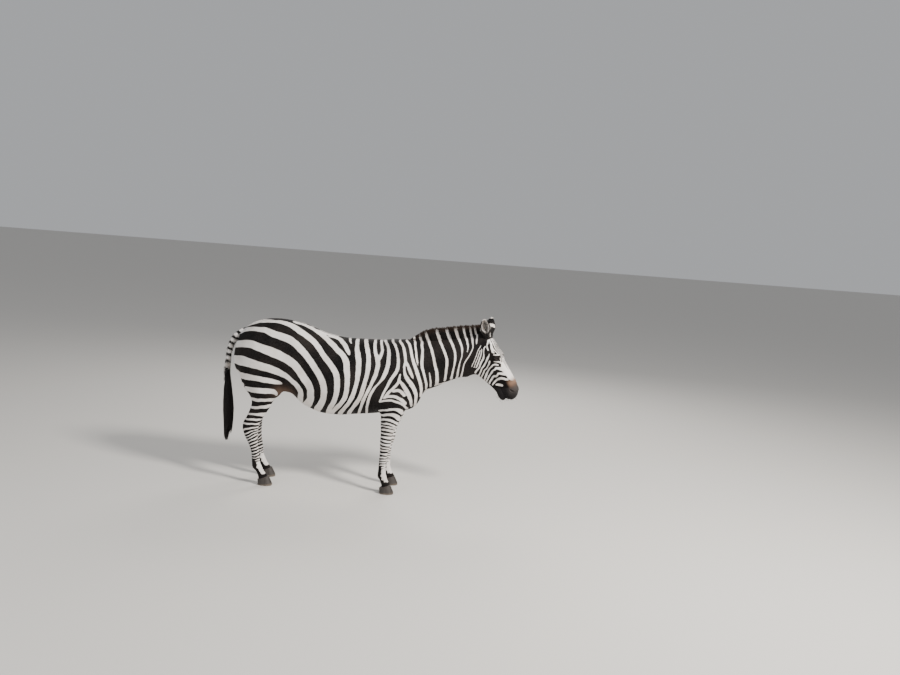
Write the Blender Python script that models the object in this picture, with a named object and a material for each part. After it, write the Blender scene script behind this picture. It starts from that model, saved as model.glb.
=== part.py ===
"""A standing plains zebra with its head lowered and turned to its right, at life size.

Metres, +Z up. The nose points to -Y, the tail to +Y, and the animal's right side to -X.
The origin lies on the floor under the middle of the animal.

The body is one smooth surface: cross sections along the trunk, neck, head and legs, with
rounded muscles on them, all blended together. It is then parted by thin cuts into the
regions that a person would name. Ears, eyes, hooves, mane and tail are pieces of their own.
"""
import math

import bmesh
import bpy
import numpy as np
from mathutils import Matrix, Vector

# ---------------------------------------------------------------- driving dimensions
CROUP_HEIGHT = 1.326       # floor to the top of the rump, the highest point of the back
BARREL_HALF = 0.260        # half the width of the belly
HEAD_LENGTH = 0.565        # poll to lips
HEAD_PITCH = 55.5          # degrees by which the face slopes down from level
HEAD_YAW = 17.0            # degrees by which the head turns to the right
POLL = (-0.020, -1.218, 1.340)      # top of the skull between the ears
TRACK_FORE = 0.135         # half the distance between the fore hooves
TRACK_HIND = 0.130         # half the distance between the hind hooves
HOOF_HEIGHT = 0.066        # floor to the middle of the coronet
EYE_RADIUS = 0.0215
EAR_LENGTH = 0.145
MID_LENGTH = -0.305        # Y of the middle of the length, measured from the mid back

FORE_SOLE = 0.488          # fore soles ahead of the mid back
HIND_SOLE = 0.482          # hind soles behind the mid back
FAR_FORE_AHEAD = 0.020     # the left fore foot stands ahead of the right one
FAR_HIND_BEHIND = 0.022    # and the left hind foot behind the right one
CORONET_SLOPE = 0.40       # rise of the hair line on the hoof, toward the toe
HOOF_HALF_WIDTH = {"fore": 0.049, "hind": 0.045}
FORE_CUTS = (0.598, 0.372, 0.156)      # elbow, below the knee, above the fetlock
HIND_CUTS = (0.700, 0.405, 0.162)      # knee of the thigh, below the hock, above the fetlock

EAR_BASE = (0.013, 0.095, -0.033)      # in head lengths: along, to the side, out
EAR_HALF_WIDTH = 0.042
EAR_LEVELS = (0.0, 0.15, 0.35, 0.60, 0.80, 0.92, 1.0)
EAR_WIDTHS = (0.62, 0.80, 1.00, 0.92, 0.66, 0.40, 0.12)    # share of the half width
EAR_WRAPS = (150, 140, 112, 96, 90, 86, 80)                # degrees from the ear's back
EAR_CURL = 0.014           # the tip leans this far toward the opening
EAR_WALL = 0.006

MANE_REAR = -0.585
MANE_FRONT = -1.215
MANE_KNOTS = (-0.585, -0.64, -0.70, -0.79, -0.90, -1.00, -1.10, -1.17, -1.215)
MANE_TOPS = (1.232, 1.272, 1.308, 1.340, 1.358, 1.378, 1.388, 1.394, 1.385)
MANE_SECTION = ((0, 0.020), (0.35, 0.019), (0.70, 0.014), (0.92, 0.008), (1.0, 0.004))

TAIL_JOIN = 0.830          # height at which the hair takes over from the banded dock
TAIL_TIP = 0.298

GAP = 0.0004               # width of the cuts between the named regions
GRID = 0.012               # spacing of the grid on which the body surface is found
BODY_TRIANGLES = 3900
EYE_FACETS = (12, 8)       # around and up the eyeball
HOOF_SIDES = 18


# ---------------------------------------------------------------- smooth curves and fields
def smooth_curve(where, knots, values):
    """Smooth curve through (knots, values) that doesn't overshoot between them."""
    knots = np.asarray(knots, float)
    values = np.asarray(values, float)
    steps = np.diff(knots)
    slopes = np.diff(values) / steps
    tangents = np.zeros(len(knots))
    tangents[0] = slopes[0]
    tangents[-1] = slopes[-1]
    same = slopes[:-1] * slopes[1:] > 0
    before = steps[:-1]
    after = steps[1:]
    weight_a = 2 * after + before
    weight_b = after + 2 * before
    with np.errstate(divide="ignore", invalid="ignore"):
        mean = (weight_a + weight_b) / (weight_a / slopes[:-1] + weight_b / slopes[1:])
    tangents[1:-1] = np.where(same, mean, 0.0)
    where = np.clip(where, knots[0], knots[-1])
    cell = np.clip(np.searchsorted(knots, where) - 1, 0, len(steps) - 1)
    t = (where - knots[cell]) / steps[cell]
    ends = values[cell] * (1 + 2 * t) * (1 - t) ** 2 + values[cell + 1] * t * t * (3 - 2 * t)
    bend = tangents[cell] * t * (1 - t) ** 2 + tangents[cell + 1] * t * t * (t - 1)
    return ends + steps[cell] * bend


def section_field(points, frame, rows):
    """Signed distance to a body of oval sections.

    frame is (origin, three axes as rows): along, across and up. Each row holds the place
    along, the centre across and up, the half width, the reach up and down, and the power
    of the oval (2 is an ellipse).
    """
    origin, axes = frame
    local = (points - origin) @ axes.T
    table = np.asarray(rows, float)
    along = local[:, 0]
    column = [smooth_curve(along, table[:, 0], table[:, i]) for i in range(1, 7)]
    across = local[:, 1] - column[0]
    up = local[:, 2] - column[1]
    reach = np.where(up > 0, column[3], column[4])
    power = column[5]
    ratio = (np.abs(across / column[2]) ** power + np.abs(up / reach) ** power) ** (1 / power)
    ratio = np.maximum(ratio, 1e-4)
    away = np.hypot(across, up) * (1 - 1 / ratio)
    away = np.where(ratio < 0.02, -np.minimum(column[2], reach), away)
    past = np.maximum(np.maximum(table[0, 0] - along, along - table[-1, 0]), 0)
    return np.where(past > 0, np.hypot(np.maximum(away, 0), past), away)


def ellipsoid_field(points, centre, radii, tilt=0.0):
    """Signed distance to an ellipsoid, tilted about X by so many degrees."""
    turn = math.radians(tilt)
    local = points - centre
    y = local[:, 1] * math.cos(turn) + local[:, 2] * math.sin(turn)
    z = -local[:, 1] * math.sin(turn) + local[:, 2] * math.cos(turn)
    scaled = np.stack([local[:, 0] / radii[0], y / radii[1], z / radii[2]], axis=1)
    first = np.linalg.norm(scaled, axis=1)
    second = np.linalg.norm(scaled / np.asarray(radii), axis=1)
    return first * (first - 1) / np.maximum(second, 1e-6)


def blend(a, b, radius):
    """Union of two fields whose meeting line is rounded over the radius."""
    share = np.clip(0.5 + 0.5 * (b - a) / radius, 0, 1)
    return b * (1 - share) + a * share - radius * share * (1 - share)


# ---------------------------------------------------------------- frames
# Each frame is an origin and three axes: along the sections, across them, and up them.
ALONG_BODY = (np.zeros(3), np.array([[0, 1, 0], [1, 0, 0], [0, 0, 1.0]]))
UP_LEG = (np.zeros(3), np.array([[0, 0, 1], [1, 0, 0], [0, -1, 0.0]]))
ALONG_HEAD = (np.zeros(3), np.eye(3))


def head_frame():
    """Origin at the poll; along the face, toward the animal's left, and out of the face."""
    pitch = math.radians(HEAD_PITCH)
    yaw = math.radians(HEAD_YAW)
    along = (-math.sin(yaw) * math.cos(pitch), -math.cos(yaw) * math.cos(pitch), -math.sin(pitch))
    out = (-math.sin(yaw) * math.sin(pitch), -math.cos(yaw) * math.sin(pitch), math.cos(pitch))
    left = (math.cos(yaw), -math.sin(yaw), 0)
    return np.array(POLL), np.array([along, left, out])


def head_point(along, left, out):
    """World place of a point given in head lengths."""
    origin, axes = head_frame()
    return origin + HEAD_LENGTH * np.array([along, left, out]) @ axes


# ---------------------------------------------------------------- anatomy
def trunk_rows():
    """Along Y: centre across, widest level, half width, reach up, reach down, power."""
    back = [
        (-0.70, 1.120, 0.840, 0.30, 0.98), (-0.65, 1.190, 0.760, 0.50, 0.97),
        (-0.58, 1.220, 0.682, 0.66, 0.95), (-0.48, 1.224, 0.640, 0.78, 0.93),
        (-0.36, 1.219, 0.622, 0.89, 0.90), (-0.22, 1.215, 0.605, 0.965, 0.88),
        (-0.08, 1.215, 0.588, 1.00, 0.87), (0.06, 1.237, 0.592, 0.985, 0.88),
        (0.20, 1.286, 0.640, 0.925, 0.92), (0.34, 1.318, 0.748, 0.85, 0.97),
        (0.48, 1.326, 0.815, 0.78, 1.01), (0.60, 1.307, 0.800, 0.68, 1.04),
        (0.69, 1.264, 0.880, 0.50, 1.07), (0.75, 1.205, 0.960, 0.30, 1.08),
    ]
    rows = []
    for along, top, bottom, width, level in back:
        rows.append((along, 0, level, BARREL_HALF * width, top - level, level - bottom, 2.15))
    return rows


def neck_rows():
    """Along Y, from inside the shoulders to the back of the skull."""
    crest = [
        (-1.24, -0.026, 1.280, 1.100, 0.060, 1.19), (-1.16, -0.018, 1.302, 1.020, 0.076, 1.17),
        (-1.08, -0.011, 1.298, 0.972, 0.087, 1.13), (-1.00, -0.006, 1.285, 0.954, 0.097, 1.09),
        (-0.92, -0.003, 1.270, 0.918, 0.108, 1.06), (-0.84, 0.000, 1.256, 0.876, 0.120, 1.03),
        (-0.76, 0.000, 1.243, 0.836, 0.134, 1.00), (-0.68, 0.000, 1.234, 0.788, 0.146, 0.98),
        (-0.58, 0.000, 1.218, 0.750, 0.140, 0.96), (-0.46, 0.000, 1.160, 0.800, 0.090, 0.96),
    ]
    rows = []
    for along, side, top, bottom, half, level in crest:
        rows.append((along, side, level, half, top - level, level - bottom, 1.95))
    return rows


def skull_rows():
    """Along the face in head lengths: brow, nose and upper lip."""
    return [
        (-0.06, 0, -0.20, 0.100, 0.110, 0.10, 2.1), (0.02, 0, -0.18, 0.140, 0.160, 0.12, 2.2),
        (0.10, 0, -0.16, 0.160, 0.162, 0.14, 2.3), (0.20, 0, -0.14, 0.172, 0.150, 0.15, 2.4),
        (0.30, 0, -0.13, 0.168, 0.134, 0.14, 2.5), (0.40, 0, -0.13, 0.148, 0.129, 0.13, 2.4),
        (0.52, 0, -0.125, 0.122, 0.125, 0.12, 2.3), (0.64, 0, -0.12, 0.104, 0.121, 0.11, 2.3),
        (0.76, 0, -0.12, 0.098, 0.124, 0.11, 2.2), (0.84, 0, -0.12, 0.098, 0.110, 0.11, 2.2),
        (0.90, 0, -0.13, 0.088, 0.090, 0.09, 2.2), (0.93, 0, -0.14, 0.070, 0.060, 0.07, 2.0),
    ]


def jaw_rows():
    """Along the face in head lengths: the lower jaw, from its angle to the chin."""
    return [
        (0.00, 0, -0.28, 0.060, 0.06, 0.08, 2.0), (0.08, 0, -0.33, 0.095, 0.16, 0.135, 2.2),
        (0.18, 0, -0.33, 0.120, 0.18, 0.170, 2.4), (0.28, 0, -0.33, 0.124, 0.18, 0.168, 2.4),
        (0.40, 0, -0.32, 0.110, 0.18, 0.148, 2.3), (0.52, 0, -0.30, 0.094, 0.16, 0.122, 2.2),
        (0.64, 0, -0.28, 0.082, 0.14, 0.094, 2.1), (0.76, 0, -0.265, 0.078, 0.12, 0.074, 2.1),
        (0.85, 0, -0.26, 0.076, 0.10, 0.064, 2.1), (0.92, 0, -0.25, 0.050, 0.07, 0.040, 2.0),
    ]


def fore_leg_rows(side, ahead):
    """Up Z: centre across, minus the centre along, half width, reach ahead and behind."""
    x = side * TRACK_FORE
    limb = [
        (0.045, 0.490, 0.036, 0.044, 0.040), (0.075, 0.480, 0.034, 0.040, 0.038),
        (0.105, 0.466, 0.029, 0.033, 0.035), (0.135, 0.452, 0.032, 0.036, 0.042),
        (0.165, 0.447, 0.028, 0.033, 0.037), (0.240, 0.447, 0.026, 0.030, 0.034),
        (0.330, 0.452, 0.029, 0.033, 0.037), (0.385, 0.456, 0.040, 0.045, 0.043),
        (0.425, 0.458, 0.043, 0.049, 0.047), (0.470, 0.462, 0.040, 0.050, 0.050),
        (0.540, 0.470, 0.048, 0.068, 0.062), (0.620, 0.478, 0.058, 0.090, 0.074),
        (0.720, 0.490, 0.062, 0.105, 0.085), (0.860, 0.510, 0.030, 0.050, 0.050),
    ]
    return [(z, x, y + ahead, half, front, rear, 2.2) for z, y, half, front, rear in limb]


def hind_leg_rows(side, ahead):
    """Up Z, as for the fore leg; the places along Y are behind the mid back."""
    x = side * TRACK_HIND
    limb = [
        (0.045, -0.494, 0.036, 0.045, 0.040), (0.075, -0.503, 0.034, 0.041, 0.038),
        (0.105, -0.520, 0.029, 0.034, 0.036), (0.140, -0.545, 0.033, 0.040, 0.043),
        (0.175, -0.556, 0.029, 0.034, 0.037), (0.250, -0.567, 0.028, 0.034, 0.034),
        (0.330, -0.588, 0.032, 0.040, 0.041), (0.400, -0.607, 0.041, 0.055, 0.058),
        (0.460, -0.612, 0.043, 0.062, 0.069), (0.500, -0.605, 0.040, 0.063, 0.070),
        (0.560, -0.582, 0.044, 0.074, 0.064), (0.650, -0.545, 0.062, 0.086, 0.074),
        (0.740, -0.530, 0.080, 0.100, 0.086), (0.920, -0.540, 0.040, 0.060, 0.060),
    ]
    return [(z, x, y + ahead, half, front, rear, 2.2) for z, y, half, front, rear in limb]


# Muscles and bony points on both sides: place, half axes, tilt about X, blend radius.
MUSCLES = {
    "shoulder_blade": ((0.105, -0.545, 0.990), (0.075, 0.110, 0.220), -18, 0.090),
    "upper_arm": ((0.130, -0.490, 0.790), (0.060, 0.120, 0.130), 30, 0.070),
    "point_of_shoulder": ((0.098, -0.620, 0.850), (0.060, 0.070, 0.115), -10, 0.060),
    "breast": ((0.050, -0.600, 0.800), (0.085, 0.100, 0.120), 0, 0.060),
    "rump": ((0.100, 0.490, 1.080), (0.110, 0.230, 0.190), -14, 0.090),
    "thigh": ((0.130, 0.560, 0.930), (0.088, 0.155, 0.210), 14, 0.080),
    "buttock": ((0.070, 0.680, 1.040), (0.075, 0.098, 0.170), 16, 0.060),
    "stifle": ((0.152, 0.460, 0.815), (0.055, 0.080, 0.105), -25, 0.045),
    "hip_point": ((0.140, 0.300, 1.150), (0.060, 0.080, 0.070), 0, 0.100),
    "flank": ((0.145, 0.300, 0.860), (0.075, 0.105, 0.085), -30, 0.060),
}

# The same on the head, in head lengths: along, to the side, out; half axes; blend radius.
HEAD_FORMS = {
    "cheek": ((0.230, 0.104, -0.310), (0.165, 0.046, 0.140), 0.040),
    "brow": ((0.345, 0.116, -0.050), (0.085, 0.048, 0.046), 0.035),
    "cheek_ridge": ((0.420, 0.102, -0.165), (0.170, 0.030, 0.040), 0.040),
    "nostril_wing": ((0.865, 0.066, -0.090), (0.066, 0.042, 0.062), 0.024),
    "upper_lip": ((0.905, 0.036, -0.150), (0.082, 0.062, 0.082), 0.024),
    "chin": ((0.860, 0.018, -0.288), (0.070, 0.050, 0.044), 0.022),
}
EYE_PLACE = (0.365, 0.149, -0.062)     # centre of the eyeball, in head lengths

# Radii over which the parts of the body flow into each other.
NECK_BLEND = 0.070
LEG_BLEND = 0.050
HEAD_BLEND = 0.045
JAW_BLEND = 0.050          # in head lengths


def body_field(points):
    """Signed distance to the whole body, without ears, eyes, hooves, mane and tail."""
    total = section_field(points, ALONG_BODY, trunk_rows())
    total = blend(total, section_field(points, ALONG_BODY, neck_rows()), NECK_BLEND)
    for side in (-1, 1):
        left = side > 0
        fore_rows = fore_leg_rows(side, FAR_FORE_AHEAD if left else 0)
        hind_rows = hind_leg_rows(side, -FAR_HIND_BEHIND if left else 0)
        total = blend(total, section_field(points, UP_LEG, fore_rows), LEG_BLEND)
        total = blend(total, section_field(points, UP_LEG, hind_rows), LEG_BLEND)
        for place, radii, tilt, radius in MUSCLES.values():
            centre = np.array(place) * (side, 1, 1)
            total = blend(total, ellipsoid_field(points, centre, radii, tilt), radius)
    return blend(total, head_field(points), HEAD_BLEND)


def head_field(points):
    """Signed distance to the head, worked out in head lengths."""
    origin, axes = head_frame()
    local = (points - origin) @ axes.T / HEAD_LENGTH
    head = section_field(local, ALONG_HEAD, skull_rows())
    head = blend(head, section_field(local, ALONG_HEAD, jaw_rows()), JAW_BLEND)
    for side in (-1, 1):
        for place, radii, radius in HEAD_FORMS.values():
            centre = np.array(place) * (1, side, 1)
            head = blend(head, ellipsoid_field(local, centre, radii), radius / HEAD_LENGTH)
    return head * HEAD_LENGTH


# ---------------------------------------------------------------- surface from the field
def grid_surface(low, high, step):
    """Quads of the surface where the body field is zero, from a regular grid."""
    axes = [np.arange(low[i], high[i] + step, step) for i in range(3)]
    shape = tuple(len(a) for a in axes)
    field = np.empty(shape)
    for i, x in enumerate(axes[0]):
        y, z = np.meshgrid(axes[1], axes[2], indexing="ij")
        slab = np.stack([np.full(y.size, x), y.ravel(), z.ravel()], axis=1)
        field[i] = body_field(slab).reshape(shape[1:])
    inside = field < 0
    corners = [(i, j, k) for i in (0, 1) for j in (0, 1) for k in (0, 1)]
    cells = tuple(n - 1 for n in shape)
    count = np.zeros(cells, int)
    for i, j, k in corners:
        count += inside[i:i + cells[0], j:j + cells[1], k:k + cells[2]]
    mixed = (count > 0) & (count < 8)
    number = np.full(cells, -1)
    number[mixed] = np.arange(mixed.sum())
    places = np.argwhere(mixed)
    total = np.zeros((len(places), 3))
    crossings = np.zeros(len(places))
    for a in corners:
        for axis in range(3):
            if a[axis]:
                continue
            b = list(a)
            b[axis] = 1
            start = field[tuple((places + a).T)]
            end = field[tuple((places + b).T)]
            crossed = (start < 0) != (end < 0)
            part = np.where(crossed, start / np.where(crossed, start - end, 1), 0)
            point = np.array(a) + part[:, None] * (np.array(b) - a)
            total += point * crossed[:, None]
            crossings += crossed
    vertices = np.array(low) + step * (places + total / crossings[:, None])
    quads = []
    for axis in range(3):
        first, second = [i for i in range(3) if i != axis]
        start = np.take(field, range(shape[axis] - 1), axis=axis)
        end = np.take(field, range(1, shape[axis]), axis=axis)
        edges = np.argwhere((start < 0) != (end < 0))
        whole = (edges[:, first] > 0) & (edges[:, second] > 0)
        whole &= (edges[:, first] < cells[first]) & (edges[:, second] < cells[second])
        edges = edges[whole]
        step_a = np.eye(3, dtype=int)[first]
        step_b = np.eye(3, dtype=int)[second]
        ring = [edges - step_a - step_b, edges - step_b, edges, edges - step_a]
        quad = np.stack([number[tuple(r.T)] for r in ring], axis=1)
        outward = (start[tuple(edges.T)] < 0) ^ (axis == 1)
        quad[~outward] = quad[~outward][:, ::-1]
        quads.append(quad)
    return vertices, np.concatenate(quads)


# ---------------------------------------------------------------- Blender helpers
def clear_scene():
    for old in list(bpy.data.objects):
        bpy.data.objects.remove(old, do_unlink=True)


def material(name, colour, roughness):
    made = bpy.data.materials.new(name)
    made.use_nodes = True
    shader = made.node_tree.nodes["Principled BSDF"]
    shader.inputs["Base Color"].default_value = (*colour, 1)
    shader.inputs["Roughness"].default_value = roughness
    shader.inputs["Metallic"].default_value = 0.0
    return made


def add_object(name, mesh):
    made = bpy.data.objects.new(name, mesh)
    bpy.context.scene.collection.objects.link(made)
    return made


def mesh_from(name, vertices, faces):
    mesh = bpy.data.meshes.new(name)
    mesh.from_pydata([tuple(v) for v in vertices], [], [tuple(int(i) for i in f) for f in faces])
    mesh.validate()
    return mesh


def bake_modifiers(thing):
    """Replace the object's mesh by what its modifiers make of it."""
    graph = bpy.context.evaluated_depsgraph_get()
    fresh = bpy.data.meshes.new_from_object(thing.evaluated_get(graph))
    thing.modifiers.clear()
    thing.data = fresh


def cut_away(thing, cutter, operation="DIFFERENCE"):
    change = thing.modifiers.new("cut", "BOOLEAN")
    change.operation = operation
    change.solver = "EXACT"
    change.object = cutter
    bake_modifiers(thing)


def hide_cutter(cutter):
    cutter.hide_render = True
    cutter.display_type = "WIRE"


def loft(rings):
    """Closed mesh through rings of points, with flat ends."""
    size = len(rings[0])
    vertices = [point for ring in rings for point in ring]
    faces = []
    for level in range(len(rings) - 1):
        base = level * size
        for i in range(size):
            j = (i + 1) % size
            faces.append((base + i, base + j, base + size + j, base + size + i))
    faces.append(tuple(reversed(range(size))))
    faces.append(tuple(range(len(vertices) - size, len(vertices))))
    return vertices, faces


def close_up(mesh):
    """Turn the faces outward and split them into triangles."""
    work = bmesh.new()
    work.from_mesh(mesh)
    bmesh.ops.recalc_face_normals(work, faces=work.faces)
    bmesh.ops.triangulate(work, faces=work.faces)
    work.to_mesh(mesh)
    work.free()


# ---------------------------------------------------------------- build
def body_surface():
    """The whole body as one closed mesh of few triangles."""
    low = (-BARREL_HALF - 0.03, -1.56, 0.02)
    high = (BARREL_HALF + 0.03, 0.86, CROUP_HEIGHT + 0.06)
    vertices, quads = grid_surface(low, high, GRID)
    body = add_object("body", mesh_from("body", vertices, quads))
    close_up(body.data)
    thin = body.modifiers.new("fewer triangles", "DECIMATE")
    thin.ratio = BODY_TRIANGLES / len(body.data.polygons)
    bake_modifiers(body)
    return body


def swollen(body):
    """A copy of the body, larger by the gap, that cuts whatever grows from it."""
    copy = add_object("body_cutter", body.data.copy())
    normals = [vertex.normal.copy() for vertex in copy.data.vertices]
    for vertex, normal in zip(copy.data.vertices, normals):
        vertex.co += normal * GAP
    hide_cutter(copy)
    return copy


def box_mesh(work, centre, along, half_sizes):
    """Add a box whose long side runs along a direction in the YZ plane, turned about Z."""
    turn, tilt = along
    place = Matrix.Translation(centre) @ Matrix.Rotation(math.radians(turn), 4, "Z")
    place = place @ Matrix.Rotation(math.radians(tilt), 4, "X")
    place = place @ Matrix.Diagonal((2 * half_sizes[0], 2 * half_sizes[1], 2 * half_sizes[2], 1))
    bmesh.ops.create_cube(work, size=1.0, matrix=place)


def parting_cuts():
    """Thin slabs between the regions: centre, (turn, tilt), half sizes."""
    thin = GAP / 2
    cuts = [
        ((0, -0.685, 1.010), (0, -16), (0.30, thin, 0.30)),      # neck from chest
        ((-0.03, -1.128, 1.155), (-12, 15), (0.20, thin, 0.24)),  # head from neck
        ((0, -0.345, 0.920), (0, 0), (0.36, thin, 0.42)),         # chest from barrel
        ((0, 0.245, 0.960), (0, 0), (0.36, thin, 0.42)),          # barrel from haunches
    ]
    leg_slab = (0.105, 0.150, thin)
    for side in (-1, 1):
        for height in FORE_CUTS:
            cuts.append(((side * TRACK_FORE, -0.485, height), (0, 0), leg_slab))
        for height in HIND_CUTS:
            cuts.append(((side * TRACK_HIND, 0.560, height), (0, 0), leg_slab))
    work = bmesh.new()
    for centre, direction, half_sizes in cuts:
        box_mesh(work, centre, direction, half_sizes)
    return cutter_from(work, "parting_cuts")


def cutter_from(work, name):
    mesh = bpy.data.meshes.new(name)
    work.to_mesh(mesh)
    work.free()
    cutter = add_object(name, mesh)
    hide_cutter(cutter)
    return cutter


def foot_places():
    """Name, X, Y of the sole's middle, and kind, for each hoof."""
    feet = []
    for side, label in ((-1, "right"), (1, "left")):
        fore_y = -FORE_SOLE - (FAR_FORE_AHEAD if side > 0 else 0)
        hind_y = HIND_SOLE + (FAR_HIND_BEHIND if side > 0 else 0)
        feet.append(("fore_hoof_" + label, side * TRACK_FORE, fore_y, "fore"))
        feet.append(("hind_hoof_" + label, side * TRACK_HIND, hind_y, "hind"))
    return feet


def coronet_height(ahead):
    """Height of the hair line, which rises toward the toe."""
    return HOOF_HEIGHT + CORONET_SLOPE * ahead


def hoof_cutter():
    """Tilted blocks that take the legs off below the hair line."""
    work = bmesh.new()
    tilt = -math.degrees(math.atan(CORONET_SLOPE))
    for name, x, y, kind in foot_places():
        depth = 0.05
        downward = Matrix.Rotation(math.radians(tilt), 3, "X") @ Vector((0, 0, -depth))
        centre = Vector((x, y, HOOF_HEIGHT)) + downward
        box_mesh(work, centre, (0, tilt), (0.08, 0.10, depth))
    return cutter_from(work, "hoof_cutter")


def hoof(name, x, y, kind):
    """A hoof: flat sole, sloping wall, and a coronet cut parallel to the leg's end."""
    width = HOOF_HALF_WIDTH[kind]
    # height share, half width share, reach ahead, reach behind, shift of the middle
    levels = [
        (0.00, 0.95, 0.058, 0.052, 0.000), (0.05, 1.00, 0.061, 0.055, 0.000),
        (0.50, 0.90, 0.052, 0.049, 0.006), (0.90, 0.82, 0.044, 0.045, 0.013),
        (1.00, 0.80, 0.042, 0.043, 0.014),
    ]
    rings = []
    for share, across, ahead, behind, shift in levels:
        ring = []
        for i in range(HOOF_SIDES):
            angle = 2 * math.pi * i / HOOF_SIDES
            reach = ahead if math.cos(angle) > 0 else behind
            forward = reach * math.cos(angle) - shift
            top = coronet_height(forward) - GAP
            ring.append((x + width * across * math.sin(angle), y - forward, share * top))
        rings.append(ring)
    vertices, faces = loft(rings)
    made = add_object(name, mesh_from(name, vertices, faces))
    close_up(made.data)
    return made


def eye(name, side):
    mesh = bpy.data.meshes.new(name)
    work = bmesh.new()
    around, up = EYE_FACETS
    bmesh.ops.create_uvsphere(work, u_segments=around, v_segments=up, radius=EYE_RADIUS)
    work.to_mesh(mesh)
    work.free()
    made = add_object(name, mesh)
    along, out_side, out = EYE_PLACE
    made.location = head_point(along, side * out_side, out)
    return made


def eye_sockets():
    work = bmesh.new()
    around, up = EYE_FACETS
    for side in (-1, 1):
        along, out_side, out = EYE_PLACE
        place = Matrix.Translation(head_point(along, side * out_side, out))
        bmesh.ops.create_uvsphere(
            work, u_segments=around, v_segments=up, radius=EYE_RADIUS + GAP, matrix=place)
    return cutter_from(work, "eye_sockets")


def ear(name, side):
    """A cupped leaf: C-shaped sections round the ear's length, opening to the side."""
    along, left, out = head_frame()[1]
    outward = left * side
    length = outward * 0.42 - along * 0.80 + out * 0.42
    length /= np.linalg.norm(length)
    opening = outward * 0.95 + along * 0.25 + out * 0.30
    opening -= length * (opening @ length)
    opening /= np.linalg.norm(opening)
    across = np.cross(length, opening)
    base = head_point(EAR_BASE[0], side * EAR_BASE[1], EAR_BASE[2])
    rings = []
    for level in range(10):
        share = level / 9
        half = EAR_HALF_WIDTH * smooth_curve(share, EAR_LEVELS, EAR_WIDTHS)
        wrap = math.radians(smooth_curve(share, EAR_LEVELS, EAR_WRAPS))
        middle = base + length * EAR_LENGTH * share + opening * EAR_CURL * share ** 2
        wall = min(EAR_WALL, half * 0.6)
        turns = np.linspace(-wrap, wrap, 9)
        outer = [middle + half * (math.sin(t) * across - math.cos(t) * opening) for t in turns]
        inside = half - wall
        inner = [middle + inside * (math.sin(t) * across - math.cos(t) * opening) for t in turns]
        rings.append(outer + inner[::-1])
    vertices, faces = loft(rings)
    made = add_object(name, mesh_from(name, vertices, faces))
    close_up(made.data)
    return made


def mane():
    """The upright crest of hair, thick at the root and thin at the tips."""
    rings = []
    for y in np.linspace(MANE_REAR, MANE_FRONT, 20):
        top = smooth_curve(-y, -np.array(MANE_KNOTS), MANE_TOPS)
        crest = smooth_curve(y, *crest_curve("top"))
        middle = smooth_curve(y, *crest_curve("side"))
        root = crest - 0.030
        tall = top - root
        ring = []
        for up, half in MANE_SECTION:
            ring.append((middle - half, y, root + up * tall))
        for up, half in reversed(MANE_SECTION):
            ring.append((middle + half, y, root + up * tall))
        rings.append(ring)
    vertices, faces = loft(rings)
    made = add_object("mane", mesh_from("mane", vertices, faces))
    close_up(made.data)
    return made


def crest_curve(which):
    rows = np.array(neck_rows())
    if which == "side":
        return rows[:, 0], rows[:, 1]
    return rows[:, 0], rows[:, 2] + rows[:, 4]


def tube(name, path, level_ends, sides=12):
    """Closed tube along (y, z, half width, half depth) rows, in the plane of symmetry.

    level_ends holds the numbers of the rings that lie level.
    """
    rings = []
    for i, (y, z, half, depth) in enumerate(path):
        before = path[max(i - 1, 0)]
        after = path[min(i + 1, len(path) - 1)]
        run = Vector((0, after[0] - before[0], after[1] - before[1])).normalized()
        if i in level_ends:
            run = Vector((0, 0, -1))
        out = Vector((1, 0, 0)).cross(run)
        ring = []
        for k in range(sides):
            angle = 2 * math.pi * k / sides
            point = Vector((half * math.cos(angle), y, z)) + out * depth * math.sin(angle)
            ring.append(tuple(point))
        rings.append(ring)
    vertices, faces = loft(rings)
    made = add_object(name, mesh_from(name, vertices, faces))
    close_up(made.data)
    return made


def tail():
    dock = [
        (0.715, 1.215, 0.026, 0.022), (0.760, 1.190, 0.031, 0.026), (0.800, 1.150, 0.030, 0.025),
        (0.828, 1.090, 0.028, 0.023), (0.843, 1.010, 0.026, 0.021), (0.847, 0.920, 0.024, 0.020),
        (0.844, TAIL_JOIN, 0.024, 0.020),
    ]
    tuft = [
        (0.844, TAIL_JOIN - GAP, 0.024, 0.020), (0.843, 0.790, 0.030, 0.027),
        (0.838, 0.720, 0.036, 0.036), (0.832, 0.640, 0.040, 0.044), (0.827, 0.560, 0.041, 0.048),
        (0.824, 0.480, 0.037, 0.044), (0.824, 0.410, 0.028, 0.033), (0.826, 0.350, 0.017, 0.020),
        (0.827, TAIL_TIP, 0.005, 0.006),
    ]
    return tube("tail_dock", dock, (len(dock) - 1,)), tube("tail_tuft", tuft, (0,))


def split_loose(body):
    """Separate the parted body into one object for each closed piece."""
    work = bmesh.new()
    work.from_mesh(body.data)
    work.verts.ensure_lookup_table()
    seen = set()
    pieces = []
    for start in work.verts:
        if start.index in seen:
            continue
        seen.add(start.index)
        queue = [start]
        group = []
        while queue:
            vertex = queue.pop()
            group.append(vertex)
            for edge in vertex.link_edges:
                other = edge.other_vert(vertex)
                if other.index not in seen:
                    seen.add(other.index)
                    queue.append(other)
        pieces.append(group)
    made = []
    for group in pieces:
        number = {vertex: i for i, vertex in enumerate(group)}
        places = [tuple(vertex.co) for vertex in group]
        faces = {face for vertex in group for face in vertex.link_faces}
        corners = [[number[v] for v in face.verts] for face in sorted(faces, key=lambda f: f.index)]
        made.append((places, corners))
    work.free()
    return made


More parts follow.
